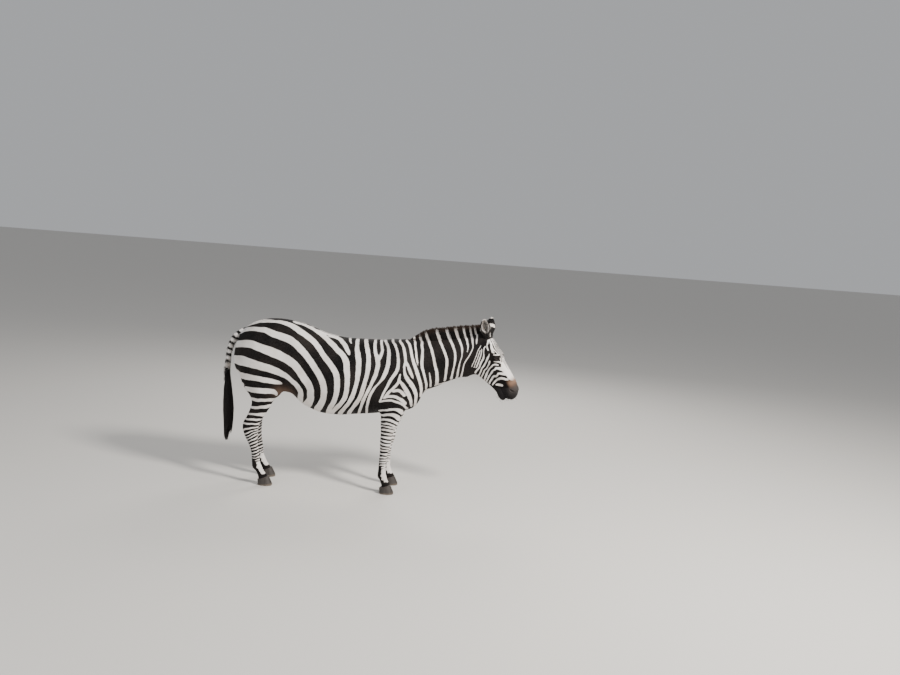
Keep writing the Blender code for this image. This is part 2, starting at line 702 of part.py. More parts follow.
def name_of_piece(places):
    """Name a piece of the body by where its middle lies."""
    low = np.min(places, axis=0)
    high = np.max(places, axis=0)
    x, y, z = (low + high) / 2
    if high[2] > 1.1:
        for limit, name in ((-1.13, "head"), (-0.80, "neck"), (-0.36, "chest"), (0.20, "barrel")):
            if y < limit:
                return name
        return "haunches"
    side = "right" if x < 0 else "left"
    if y < 0:
        levels = (("fore_pastern_", FORE_CUTS[2]), ("fore_cannon_", FORE_CUTS[1]), ("forearm_", 1))
    else:
        levels = (("hind_pastern_", HIND_CUTS[2]), ("hind_cannon_", HIND_CUTS[1]), ("gaskin_", 1))
    return next(name for name, limit in levels if z < limit) + side


COAT_COLOURS = {
    "head": ((0.30, 0.27, 0.25), 0.80),
    "tail_tuft": ((0.020, 0.017, 0.015), 0.60),
    "mane": ((0.16, 0.13, 0.11), 0.75),
    "hoof": ((0.060, 0.055, 0.050), 0.45),
    "eye": ((0.020, 0.012, 0.008), 0.08),
    "ear": ((0.35, 0.32, 0.30), 0.85),
    "coat": ((0.42, 0.39, 0.36), 0.80),
}


def finish_of(name):
    for word in ("tail_tuft", "mane", "hoof", "eye", "ear_", "head"):
        if word in name:
            return COAT_COLOURS[word.strip("_")]
    return COAT_COLOURS["coat"]


def main():
    clear_scene()
    body = body_surface()
    cutter = swollen(body)
    grown = [mane(), *tail(), ear("ear_right", -1), ear("ear_left", 1)]
    for piece in grown:
        if piece.name != "tail_tuft":
            cut_away(piece, cutter)
    cut_away(body, eye_sockets())
    cut_away(body, hoof_cutter())
    cut_away(body, parting_cuts())
    pieces = grown + [eye("eye_right", -1), eye("eye_left", 1)]
    pieces += [hoof(*foot) for foot in foot_places()]
    for places, corners in split_loose(body):
        name = name_of_piece(places)
        pieces.append(add_object(name, mesh_from(name, places, corners)))
    bpy.data.objects.remove(body, do_unlink=True)
    middle = add_object("zebra_middle", None)
    middle.location = (0, -MID_LENGTH, 0)
    for piece in pieces:
        piece.parent = middle
        colour, roughness = finish_of(piece.name)
        piece.data.materials.clear()
        piece.data.materials.append(material(piece.name + "_finish", colour, roughness))
        piece.data.shade_smooth()
        piece.data.set_sharp_from_angle(angle=math.radians(50))


main()
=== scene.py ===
"""Looks of the standing plains zebra: one striped skin with short hair, mane, tail and eyes.

Shapes are worked out in metres from the middle of the back, as the solids are, and moved to
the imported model's frame when a mesh is made. -Y is ahead, +X is the animal's left, +Z is up.
Stripes come from guide lines of the white bands in a side plane on which the head is turned
straight. The legs' bands come from a formula.
"""
import math

import bmesh
import bpy
import numpy as np
from mathutils import Matrix, Vector


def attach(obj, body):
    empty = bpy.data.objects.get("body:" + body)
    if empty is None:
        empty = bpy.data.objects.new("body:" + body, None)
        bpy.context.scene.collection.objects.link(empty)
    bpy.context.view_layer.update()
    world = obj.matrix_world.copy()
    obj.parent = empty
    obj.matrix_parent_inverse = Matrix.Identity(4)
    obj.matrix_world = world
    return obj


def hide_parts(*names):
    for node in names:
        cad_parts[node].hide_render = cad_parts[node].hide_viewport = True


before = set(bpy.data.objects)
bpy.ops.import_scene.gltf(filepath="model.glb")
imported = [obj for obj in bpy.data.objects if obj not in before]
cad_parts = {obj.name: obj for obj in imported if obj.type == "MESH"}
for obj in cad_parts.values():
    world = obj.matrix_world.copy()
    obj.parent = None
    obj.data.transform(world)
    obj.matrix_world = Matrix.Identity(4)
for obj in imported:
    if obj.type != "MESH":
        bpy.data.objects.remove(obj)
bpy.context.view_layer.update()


# ---------------------------------------------------------------- dimensions of the solids
# Lengths are in metres and turns in degrees.
BACK_TO_MIDDLE = 0.305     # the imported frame's origin lies this far ahead of the mid back
BARREL_HALF = 0.260
CROUP_HEIGHT = 1.326
HEAD_LENGTH = 0.565
HEAD_PITCH = 55.5
HEAD_YAW = 17.0
POLL = (-0.020, -1.218, 1.340)
TRACKS = {"fore": 0.135, "hind": 0.130}          # from the middle to each leg
LEFT_AHEAD = {"fore": 0.020, "hind": -0.022}     # the left leg stands ahead of the right
SOLES = {"fore": 0.488, "hind": -0.482}          # right sole's middle, ahead of the mid back
HOOF_HEIGHT = 0.066
CORONET_SLOPE = 0.40
HOOF_HALF_WIDTH = {"fore": 0.049, "hind": 0.045}
EYE_RADIUS = 0.0215
EAR_LENGTH = 0.145
EAR_BASE = (0.013, 0.095, -0.033)
EAR_HALF_WIDTH = 0.042
EAR_LEVELS = (0.0, 0.15, 0.35, 0.60, 0.80, 0.92, 1.0)
EAR_WIDTHS = (0.62, 0.80, 1.00, 0.92, 0.66, 0.40, 0.12)
EAR_WRAPS = (176, 168, 124, 98, 90, 86, 80)     # closer round the base than on the solids
EAR_CURL = 0.014
EAR_WALL = 0.0045          # thinner than on the solids
MANE_REAR = -0.585
MANE_FRONT = -1.215
MANE_HALF = 0.016
MANE_LEANS = ((-1.215, -1.12, -0.95, -0.62), (0.08, 0.24, 0.38, 0.40))
MANE_ROOT = 0.014          # the mane's blades start this far inside the crest
MANE_KNOTS = (-0.585, -0.64, -0.70, -0.79, -0.90, -1.00, -1.10, -1.17, -1.215)
MANE_TOPS = (1.232, 1.272, 1.308, 1.340, 1.358, 1.378, 1.388, 1.394, 1.385)
SIDE_NAMES = {-1: "right", 1: "left"}


# ---------------------------------------------------------------- looks
COAT_DEPTH = 0.004         # the skin lies this far inside the solids
SKIN_GRID = 0.010          # spacing of the grid on which the skin is found
PLANE_GRID = 0.0025        # spacing of the grid that holds the stripe plane
SEED = 7
MANE_BLADES = 7000
DOCK_BLADES = 4200
TUFT_BLADES = 2300
TUFT_LOCKS = 52
EAR_BLADES = 5000
LASHES = 70
WHISKERS = 150


# ---------------------------------------------------------------- smooth curves and fields
def smooth_curve(where, knots, values):
    """Smooth curve through (knots, values) that doesn't overshoot between them."""
    knots = np.asarray(knots, float)
    values = np.asarray(values, float)
    steps = np.diff(knots)
    slopes = np.diff(values) / steps
    tangents = np.zeros(len(knots))
    tangents[0] = slopes[0]
    tangents[-1] = slopes[-1]
    same = slopes[:-1] * slopes[1:] > 0
    before = steps[:-1]
    after = steps[1:]
    weight_a = 2 * after + before
    weight_b = after + 2 * before
    with np.errstate(divide="ignore", invalid="ignore"):
        mean = (weight_a + weight_b) / (weight_a / slopes[:-1] + weight_b / slopes[1:])
    tangents[1:-1] = np.where(same, mean, 0.0)
    where = np.clip(where, knots[0], knots[-1])
    cell = np.clip(np.searchsorted(knots, where) - 1, 0, len(steps) - 1)
    t = (where - knots[cell]) / steps[cell]
    ends = values[cell] * (1 + 2 * t) * (1 - t) ** 2 + values[cell + 1] * t * t * (3 - 2 * t)
    bend = tangents[cell] * t * (1 - t) ** 2 + tangents[cell + 1] * t * t * (t - 1)
    return ends + steps[cell] * bend


def section_field(points, placing, rows):
    """Signed distance to a body of oval sections.

    placing is (origin, three axes as rows): along, across and up. Each row holds the place
    along, the centre across and up, the half width, the reach up and down, and the power
    of the oval (2 is an ellipse).
    """
    origin, axes = placing
    local = (points - origin) @ axes.T
    table = np.asarray(rows, float)
    along = local[:, 0]
    column = [smooth_curve(along, table[:, 0], table[:, i]) for i in range(1, 7)]
    across = local[:, 1] - column[0]
    up = local[:, 2] - column[1]
    reach = np.where(up > 0, column[3], column[4])
    power = column[5]
    ratio = (np.abs(across / column[2]) ** power + np.abs(up / reach) ** power) ** (1 / power)
    ratio = np.maximum(ratio, 1e-4)
    away = np.hypot(across, up) * (1 - 1 / ratio)
    away = np.where(ratio < 0.02, -np.minimum(column[2], reach), away)
    past = np.maximum(np.maximum(table[0, 0] - along, along - table[-1, 0]), 0)
    return np.where(past > 0, np.hypot(np.maximum(away, 0), past), away)


def ellipsoid_field(points, centre, radii, tilt=0.0):
    """Signed distance to an ellipsoid, tilted about X by so many degrees."""
    turn = math.radians(tilt)
    local = points - centre
    y = local[:, 1] * math.cos(turn) + local[:, 2] * math.sin(turn)
    z = -local[:, 1] * math.sin(turn) + local[:, 2] * math.cos(turn)
    scaled = np.stack([local[:, 0] / radii[0], y / radii[1], z / radii[2]], axis=1)
    first = np.linalg.norm(scaled, axis=1)
    second = np.linalg.norm(scaled / np.asarray(radii), axis=1)
    return first * (first - 1) / np.maximum(second, 1e-6)


def blend(a, b, radius):
    """Union of two fields whose meeting line is rounded over the radius."""
    share = np.clip(0.5 + 0.5 * (b - a) / radius, 0, 1)
    return b * (1 - share) + a * share - radius * share * (1 - share)


# ---------------------------------------------------------------- frames
# Each is an origin and three axes: along the sections, across them, and up them.
ALONG_BODY = (np.zeros(3), np.array([[0, 1, 0], [1, 0, 0], [0, 0, 1.0]]))
UP_LEG = (np.zeros(3), np.array([[0, 0, 1], [1, 0, 0], [0, -1, 0.0]]))
ALONG_HEAD = (np.zeros(3), np.eye(3))


def head_frame():
    """Origin at the poll; along the face, toward the animal's left, and out of the face."""
    pitch = math.radians(HEAD_PITCH)
    yaw = math.radians(HEAD_YAW)
    along = (-math.sin(yaw) * math.cos(pitch), -math.cos(yaw) * math.cos(pitch), -math.sin(pitch))
    out = (-math.sin(yaw) * math.sin(pitch), -math.cos(yaw) * math.sin(pitch), math.cos(pitch))
    left = (math.cos(yaw), -math.sin(yaw), 0)
    return np.array(POLL), np.array([along, left, out])


def head_point(along, left, out):
    """World place of a point given in head lengths."""
    origin, axes = head_frame()
    return origin + HEAD_LENGTH * np.array([along, left, out]) @ axes


# ---------------------------------------------------------------- anatomy
def trunk_rows():
    """Along Y: centre across, widest level, half width, reach up, reach down, power."""
    back = [
        (-0.70, 1.120, 0.840, 0.30, 0.98), (-0.65, 1.190, 0.760, 0.50, 0.97),
        (-0.58, 1.220, 0.682, 0.66, 0.95), (-0.48, 1.224, 0.640, 0.78, 0.93),
        (-0.36, 1.219, 0.622, 0.89, 0.90), (-0.22, 1.215, 0.605, 0.965, 0.88),
        (-0.08, 1.215, 0.588, 1.00, 0.87), (0.06, 1.237, 0.592, 0.985, 0.88),
        (0.20, 1.286, 0.640, 0.925, 0.92), (0.34, 1.318, 0.748, 0.85, 0.97),
        (0.48, 1.326, 0.815, 0.78, 1.01), (0.60, 1.307, 0.800, 0.68, 1.04),
        (0.69, 1.264, 0.880, 0.50, 1.07), (0.75, 1.205, 0.960, 0.30, 1.08),
    ]
    rows = []
    for along, top, bottom, width, level in back:
        rows.append((along, 0, level, BARREL_HALF * width, top - level, level - bottom, 2.15))
    return rows


def neck_rows():
    """Along Y, from inside the shoulders to the back of the skull."""
    crest = [
        (-1.24, -0.026, 1.280, 1.100, 0.060, 1.19), (-1.16, -0.018, 1.302, 1.020, 0.076, 1.17),
        (-1.08, -0.011, 1.298, 0.972, 0.087, 1.13), (-1.00, -0.006, 1.285, 0.954, 0.097, 1.09),
        (-0.92, -0.003, 1.270, 0.918, 0.108, 1.06), (-0.84, 0.000, 1.256, 0.876, 0.120, 1.03),
        (-0.76, 0.000, 1.243, 0.836, 0.134, 1.00), (-0.68, 0.000, 1.234, 0.788, 0.146, 0.98),
        (-0.58, 0.000, 1.218, 0.750, 0.140, 0.96), (-0.46, 0.000, 1.160, 0.800, 0.090, 0.96),
    ]
    rows = []
    for along, side, top, bottom, half, level in crest:
        rows.append((along, side, level, half, top - level, level - bottom, 1.95))
    return rows


def skull_rows():
    """Along the face in head lengths: brow, nose and upper lip."""
    return [
        (-0.06, 0, -0.20, 0.100, 0.110, 0.10, 2.1), (0.02, 0, -0.18, 0.140, 0.160, 0.12, 2.2),
        (0.10, 0, -0.16, 0.160, 0.162, 0.14, 2.3), (0.20, 0, -0.14, 0.172, 0.150, 0.15, 2.4),
        (0.30, 0, -0.13, 0.168, 0.134, 0.14, 2.5), (0.40, 0, -0.13, 0.148, 0.129, 0.13, 2.4),
        (0.52, 0, -0.125, 0.122, 0.125, 0.12, 2.3), (0.64, 0, -0.12, 0.104, 0.121, 0.11, 2.3),
        (0.76, 0, -0.12, 0.098, 0.124, 0.11, 2.2), (0.84, 0, -0.12, 0.098, 0.110, 0.11, 2.2),
        (0.90, 0, -0.13, 0.088, 0.090, 0.09, 2.2), (0.93, 0, -0.14, 0.070, 0.060, 0.07, 2.0),
    ]


def jaw_rows():
    """Along the face in head lengths: the lower jaw, from its angle to the chin."""
    return [
        (0.00, 0, -0.28, 0.060, 0.06, 0.08, 2.0), (0.08, 0, -0.33, 0.095, 0.16, 0.135, 2.2),
        (0.18, 0, -0.33, 0.120, 0.18, 0.170, 2.4), (0.28, 0, -0.33, 0.124, 0.18, 0.168, 2.4),
        (0.40, 0, -0.32, 0.110, 0.18, 0.148, 2.3), (0.52, 0, -0.30, 0.094, 0.16, 0.122, 2.2),
        (0.64, 0, -0.28, 0.082, 0.14, 0.094, 2.1), (0.76, 0, -0.265, 0.078, 0.12, 0.074, 2.1),
        (0.85, 0, -0.26, 0.076, 0.10, 0.064, 2.1), (0.92, 0, -0.25, 0.050, 0.07, 0.040, 2.0),
    ]


# Up each leg: height, minus the centre along, half width, reach ahead, reach behind.
LIMBS = {
    "fore": [
        (0.045, 0.490, 0.036, 0.044, 0.040), (0.075, 0.480, 0.034, 0.040, 0.038),
        (0.105, 0.466, 0.029, 0.033, 0.035), (0.135, 0.452, 0.032, 0.036, 0.042),
        (0.165, 0.447, 0.028, 0.033, 0.037), (0.240, 0.447, 0.026, 0.030, 0.034),
        (0.330, 0.452, 0.029, 0.033, 0.037), (0.385, 0.456, 0.040, 0.045, 0.043),
        (0.425, 0.458, 0.043, 0.049, 0.047), (0.470, 0.462, 0.040, 0.050, 0.050),
        (0.540, 0.470, 0.048, 0.068, 0.062), (0.620, 0.478, 0.058, 0.090, 0.074),
        (0.720, 0.490, 0.062, 0.105, 0.085), (0.860, 0.510, 0.030, 0.050, 0.050),
    ],
    "hind": [
        (0.045, -0.494, 0.036, 0.045, 0.040), (0.075, -0.503, 0.034, 0.041, 0.038),
        (0.105, -0.520, 0.029, 0.034, 0.036), (0.140, -0.545, 0.033, 0.040, 0.043),
        (0.175, -0.556, 0.029, 0.034, 0.037), (0.250, -0.567, 0.028, 0.034, 0.034),
        (0.330, -0.588, 0.032, 0.040, 0.041), (0.400, -0.607, 0.041, 0.055, 0.058),
        (0.460, -0.612, 0.043, 0.062, 0.069), (0.500, -0.605, 0.040, 0.063, 0.070),
        (0.560, -0.582, 0.044, 0.074, 0.064), (0.650, -0.545, 0.062, 0.086, 0.074),
        (0.740, -0.530, 0.080, 0.100, 0.086), (0.920, -0.540, 0.040, 0.060, 0.060),
    ],
}


def leg_rows(kind, side):
    """Up Z: centre across, minus the centre along, half width, reach ahead, behind, power."""
    across = side * TRACKS[kind]
    ahead = LEFT_AHEAD[kind] if side > 0 else 0
    return [(z, across, y + ahead, half, front, rear, 2.2)
            for z, y, half, front, rear in LIMBS[kind]]


# Muscles and bony points on both sides: place, half axes, tilt about X, blend radius.
MUSCLES = {
    "shoulder_blade": ((0.105, -0.545, 0.990), (0.075, 0.110, 0.220), -18, 0.090),
    "upper_arm": ((0.130, -0.490, 0.790), (0.060, 0.120, 0.130), 30, 0.070),
    "point_of_shoulder": ((0.098, -0.620, 0.850), (0.060, 0.070, 0.115), -10, 0.060),
    "breast": ((0.050, -0.600, 0.800), (0.085, 0.100, 0.120), 0, 0.060),
    "rump": ((0.100, 0.490, 1.080), (0.110, 0.230, 0.190), -14, 0.090),
    "thigh": ((0.130, 0.560, 0.930), (0.088, 0.155, 0.210), 14, 0.080),
    "buttock": ((0.070, 0.680, 1.040), (0.075, 0.098, 0.170), 16, 0.060),
    "stifle": ((0.152, 0.460, 0.815), (0.055, 0.080, 0.105), -25, 0.045),
    "hip_point": ((0.140, 0.300, 1.150), (0.060, 0.080, 0.070), 0, 0.100),
    "flank": ((0.145, 0.300, 0.860), (0.075, 0.105, 0.085), -30, 0.060),
}

# The same on the head, in head lengths: along, to the side, out; half axes; blend radius.
HEAD_FORMS = {
    "cheek": ((0.230, 0.104, -0.310), (0.165, 0.046, 0.140), 0.040),
    "brow": ((0.345, 0.116, -0.050), (0.085, 0.048, 0.046), 0.035),
    "cheek_ridge": ((0.420, 0.102, -0.165), (0.170, 0.030, 0.040), 0.040),
    "nostril_wing": ((0.865, 0.066, -0.090), (0.066, 0.042, 0.062), 0.024),
    "upper_lip": ((0.905, 0.036, -0.150), (0.082, 0.062, 0.082), 0.024),
    "chin": ((0.860, 0.018, -0.288), (0.070, 0.050, 0.044), 0.022),
}
EYE_PLACE = (0.365, 0.149, -0.062)     # centre of the eyeball, in head lengths

# Radii over which the parts of the body flow into each other.
NECK_BLEND = 0.070
LEG_BLEND = 0.050
HEAD_BLEND = 0.045
JAW_BLEND = 0.050          # in head lengths


def body_field(points):
    """Signed distance to the whole body, without ears, eyes, hooves, mane and tail."""
    total = section_field(points, ALONG_BODY, trunk_rows())
    total = blend(total, section_field(points, ALONG_BODY, neck_rows()), NECK_BLEND)
    for side in (-1, 1):
        for kind in LIMBS:
            leg = section_field(points, UP_LEG, leg_rows(kind, side))
            total = blend(total, leg, LEG_BLEND)
        for place, radii, tilt, radius in MUSCLES.values():
            centre = np.array(place) * (side, 1, 1)
            total = blend(total, ellipsoid_field(points, centre, radii, tilt), radius)
    return blend(total, head_field(points), HEAD_BLEND)


def head_field(points):
    """Signed distance to the head, worked out in head lengths."""
    origin, axes = head_frame()
    local = (points - origin) @ axes.T / HEAD_LENGTH
    head = section_field(local, ALONG_HEAD, skull_rows())
    head = blend(head, section_field(local, ALONG_HEAD, jaw_rows()), JAW_BLEND)
    for side in (-1, 1):
        for place, radii, radius in HEAD_FORMS.values():
            centre = np.array(place) * (1, side, 1)
            head = blend(head, ellipsoid_field(local, centre, radii), radius / HEAD_LENGTH)
    return head * HEAD_LENGTH


# ---------------------------------------------------------------- guide lines of the white bands
RUMP_WHITES = [
    [(0.34, 1.313, 5), (0.25, 1.292, 5), (0.15, 1.255, 6), (0.06, 1.232, 5), (-0.02, 1.217, 4)],
    [(0.735, 1.236, 6), (0.65, 1.277, 9), (0.57, 1.302, 9), (0.45, 1.308, 8), (0.35, 1.289, 13),
     (0.25, 1.244, 17), (0.15, 1.18, 18), (0.05, 1.072, 20), (0, 1.019, 21), (-0.045, 0.955, 21),
     (-0.06, 0.88, 21), (-0.058, 0.81, 20), (-0.04, 0.735, 18), (0, 0.655, 18), (0.022, 0.59, 18)],
    [(0.765, 1.185, 10), (0.7, 1.226, 12), (0.62, 1.243, 14), (0.55, 1.245, 18), (0.45, 1.218, 24),
     (0.35, 1.195, 26), (0.3, 1.172, 26), (0.25, 1.13, 25), (0.2, 1.08, 24), (0.15, 1.025, 24),
     (0.108, 0.97, 24), (0.075, 0.923, 24), (0.05, 0.87, 24), (0.039, 0.81, 24),
     (0.043, 0.755, 23), (0.063, 0.7, 25), (0.095, 0.645, 27), (0.12, 0.59, 28)],
    [(0.8, 1.095, 20), (0.7, 1.124, 26), (0.65, 1.13, 28), (0.55, 1.109, 30), (0.45, 1.081, 34),
     (0.35, 1.04, 32), (0.3, 1.01, 31), (0.25, 0.965, 30), (0.2, 0.9, 30), (0.165, 0.855, 29),
     (0.145, 0.8, 27), (0.146, 0.745, 28), (0.168, 0.69, 32), (0.21, 0.64, 34)],
    [(0.8, 0.985, 26), (0.7, 0.993, 37), (0.62, 0.983, 34), (0.55, 0.97, 30), (0.45, 0.947, 29),
     (0.39, 0.922, 25), (0.345, 0.905, 19), (0.3, 0.875, 17), (0.25, 0.83, 19), (0.225, 0.775, 21),
     (0.235, 0.715, 25), (0.28, 0.66, 26)],
    [(0.73, 0.878, 22), (0.65, 0.872, 24), (0.6, 0.871, 21), (0.5, 0.859, 20), (0.45, 0.853, 19),
     (0.4, 0.844, 13), (0.375, 0.84, 6)],
    [(0.752, 0.94, 10), (0.725, 0.9, 15)],
    [(0.66, 0.772, 18), (0.55, 0.773, 21), (0.45, 0.773, 20), (0.42, 0.757, 13), (0.415, 0.735, 7)],
]
BARREL_WHITES = [
    [(0.2, 1.278, 5), (0.15, 1.253, 8), (0.1, 1.228, 12), (0.05, 1.198, 15), (0, 1.163, 18),
     (-0.04, 1.13, 18), (-0.085, 1.095, 19), (-0.115, 1.05, 22), (-0.125, 1, 22),
     (-0.137, 0.9, 18), (-0.136, 0.84, 18), (-0.125, 0.78, 18), (-0.1, 0.728, 17),
     (-0.06, 0.676, 17), (-0.02, 0.62, 17), (-0.005, 0.58, 17)],
    [(0.05, 1.222, 4), (0, 1.213, 5), (-0.04, 1.203, 9), (-0.074, 1.181, 13), (-0.1, 1.155, 15),
     (-0.122, 1.125, 13), (-0.133, 1.105, 6)],
    [(-0.095, 1.25, 5), (-0.115, 1.21, 8), (-0.135, 1.185, 5)],
    [(-0.163, 1.26, 10), (-0.18, 1.2, 13), (-0.187, 1.15, 16), (-0.203, 1.097, 20),
     (-0.214, 1.03, 19), (-0.215, 0.97, 19), (-0.209, 0.9, 15), (-0.197, 0.84, 16),
     (-0.18, 0.785, 16), (-0.15, 0.72, 14), (-0.115, 0.67, 15), (-0.08, 0.61, 17),
     (-0.07, 0.57, 17)],
    [(-0.231, 1.26, 11), (-0.249, 1.2, 14), (-0.268, 1.15, 16), (-0.285, 1.09, 16),
     (-0.289, 1.03, 18), (-0.283, 0.96, 16), (-0.27, 0.9, 15), (-0.255, 0.83, 16),
     (-0.235, 0.77, 15), (-0.212, 0.727, 16), (-0.185, 0.685, 14), (-0.155, 0.63, 15),
     (-0.14, 0.58, 15)],
    [(-0.318, 1.26, 10), (-0.321, 1.2, 11), (-0.331, 1.14, 12), (-0.35, 1.095, 16),
     (-0.362, 1.05, 17), (-0.355, 0.99, 16), (-0.338, 0.935, 14), (-0.322, 0.89, 12),
     (-0.3, 0.84, 12), (-0.282, 0.795, 11), (-0.262, 0.74, 12), (-0.247, 0.69, 10),
     (-0.23, 0.63, 11), (-0.22, 0.58, 11)],
    [(-0.358, 1.25, 8), (-0.368, 1.21, 9), (-0.378, 1.18, 10), (-0.386, 1.15, 10),
     (-0.379, 1.115, 11), (-0.365, 1.08, 12)],
    [(-0.385, 1.225, 6), (-0.41, 1.205, 9), (-0.432, 1.17, 11), (-0.441, 1.12, 14),
     (-0.441, 1.07, 15), (-0.432, 1.01, 16), (-0.415, 0.96, 14), (-0.39, 0.915, 9),
     (-0.365, 0.885, 7), (-0.34, 0.85, 9), (-0.318, 0.8, 10), (-0.305, 0.75, 10),
     (-0.295, 0.69, 9), (-0.29, 0.63, 9)],
]
SHOULDER_WHITES = [
    [(-0.452, 1.225, 6), (-0.48, 1.2, 9), (-0.502, 1.155, 9), (-0.515, 1.1, 10),
     (-0.519, 1.04, 12), (-0.508, 1, 13), (-0.485, 0.96, 12), (-0.458, 0.91, 11),
     (-0.436, 0.86, 9), (-0.415, 0.81, 8), (-0.392, 0.75, 6)],
    [(-0.539, 0.98, 6), (-0.533, 0.93, 10), (-0.515, 0.895, 10), (-0.485, 0.86, 10),
     (-0.455, 0.825, 11), (-0.43, 0.785, 8)],
    [(-0.543, 0.925, 9), (-0.575, 0.885, 15), (-0.6, 0.85, 15), (-0.62, 0.81, 14),
     (-0.635, 0.77, 11), (-0.642, 0.72, 8)],
    [(-0.495, 0.845, 9), (-0.53, 0.853, 12), (-0.56, 0.838, 12), (-0.583, 0.812, 10)],
    [(-0.425, 0.785, 6), (-0.46, 0.8, 10), (-0.5, 0.803, 11), (-0.54, 0.79, 11),
     (-0.57, 0.775, 12), (-0.595, 0.75, 12)],
    [(-0.395, 0.755, 6), (-0.44, 0.765, 7), (-0.48, 0.771, 8), (-0.52, 0.762, 8),
     (-0.55, 0.752, 8), (-0.58, 0.735, 8), (-0.61, 0.7, 9)],
    [(-0.512, 1.225, 6), (-0.54, 1.2, 8), (-0.56, 1.15, 10), (-0.572, 1.09, 10), (-0.567, 1.04, 8),
     (-0.573, 0.995, 10), (-0.595, 0.95, 14), (-0.63, 0.905, 15), (-0.66, 0.855, 14),
     (-0.674, 0.8, 11), (-0.672, 0.74, 9), (-0.663, 0.69, 8)],
    [(-0.575, 1.085, 7), (-0.592, 1.055, 9), (-0.612, 1.01, 11), (-0.63, 0.975, 10),
     (-0.643, 0.95, 4)],
]
NECK_WHITES = [
    [(-0.565, 1.23, 6), (-0.58, 1.216, 7), (-0.595, 1.2, 9), (-0.611, 1.15, 10), (-0.626, 1.1, 10),
     (-0.647, 1.05, 12), (-0.668, 1, 13), (-0.687, 0.95, 12), (-0.703, 0.9, 11),
     (-0.711, 0.85, 10), (-0.709, 0.8, 8)],
    [(-0.622, 1.29, 9), (-0.63, 1.25, 9), (-0.637, 1.2, 8), (-0.649, 1.15, 7), (-0.659, 1.1, 7),
     (-0.672, 1.055, 3)],
    [(-0.676, 1.31, 9), (-0.684, 1.26, 9), (-0.691, 1.2, 9), (-0.699, 1.15, 10),
     (-0.699, 1.08, 11), (-0.705, 1.035, 10), (-0.72, 0.995, 9), (-0.735, 0.945, 9),
     (-0.748, 0.895, 9), (-0.75, 0.84, 7)],
    [(-0.7, 1.34, 10), (-0.722, 1.28, 10), (-0.742, 1.235, 10), (-0.759, 1.2, 9),
     (-0.778, 1.15, 10), (-0.793, 1.1, 10), (-0.808, 1.05, 12), (-0.823, 1, 12),
     (-0.829, 0.94, 13), (-0.83, 0.86, 13)],
    [(-0.767, 1, 4), (-0.776, 0.95, 6), (-0.781, 0.9, 7), (-0.779, 0.85, 6)],
    [(-0.787, 1.38, 10), (-0.8, 1.33, 10), (-0.812, 1.29, 10), (-0.828, 1.25, 10),
     (-0.854, 1.2, 9), (-0.879, 1.15, 10), (-0.896, 1.1, 10), (-0.897, 1.05, 10),
     (-0.894, 0.98, 9), (-0.89, 0.9, 9)],
    [(-0.866, 1.39, 10), (-0.885, 1.315, 10), (-0.907, 1.265, 10), (-0.933, 1.22, 9),
     (-0.953, 1.17, 8), (-0.96, 1.12, 8), (-0.955, 1.06, 6), (-0.947, 1, 7), (-0.939, 0.93, 12)],
    [(-0.928, 1.4, 9), (-0.95, 1.32, 9), (-0.976, 1.275, 9), (-0.998, 1.235, 8), (-1.01, 1.195, 7),
     (-1.012, 1.15, 4), (-1.003, 1.11, 4), (-0.992, 1.05, 6), (-0.988, 1, 8), (-0.985, 0.94, 10)],
    [(-0.99, 1.4, 8), (-1.015, 1.33, 8), (-1.032, 1.29, 8), (-1.046, 1.255, 8), (-1.054, 1.21, 5),
     (-1.05, 1.18, 3)],
    [(-1.052, 1.41, 7), (-1.077, 1.31, 8), (-1.088, 1.265, 7), (-1.092, 1.22, 4),
     (-1.08, 1.175, 4), (-1.055, 1.13, 4), (-1.037, 1.09, 4), (-1.028, 1.04, 5), (-1.02, 0.97, 8)],
    [(-1.105, 1.41, 7), (-1.115, 1.335, 7), (-1.12, 1.29, 7), (-1.118, 1.25, 4)],
]
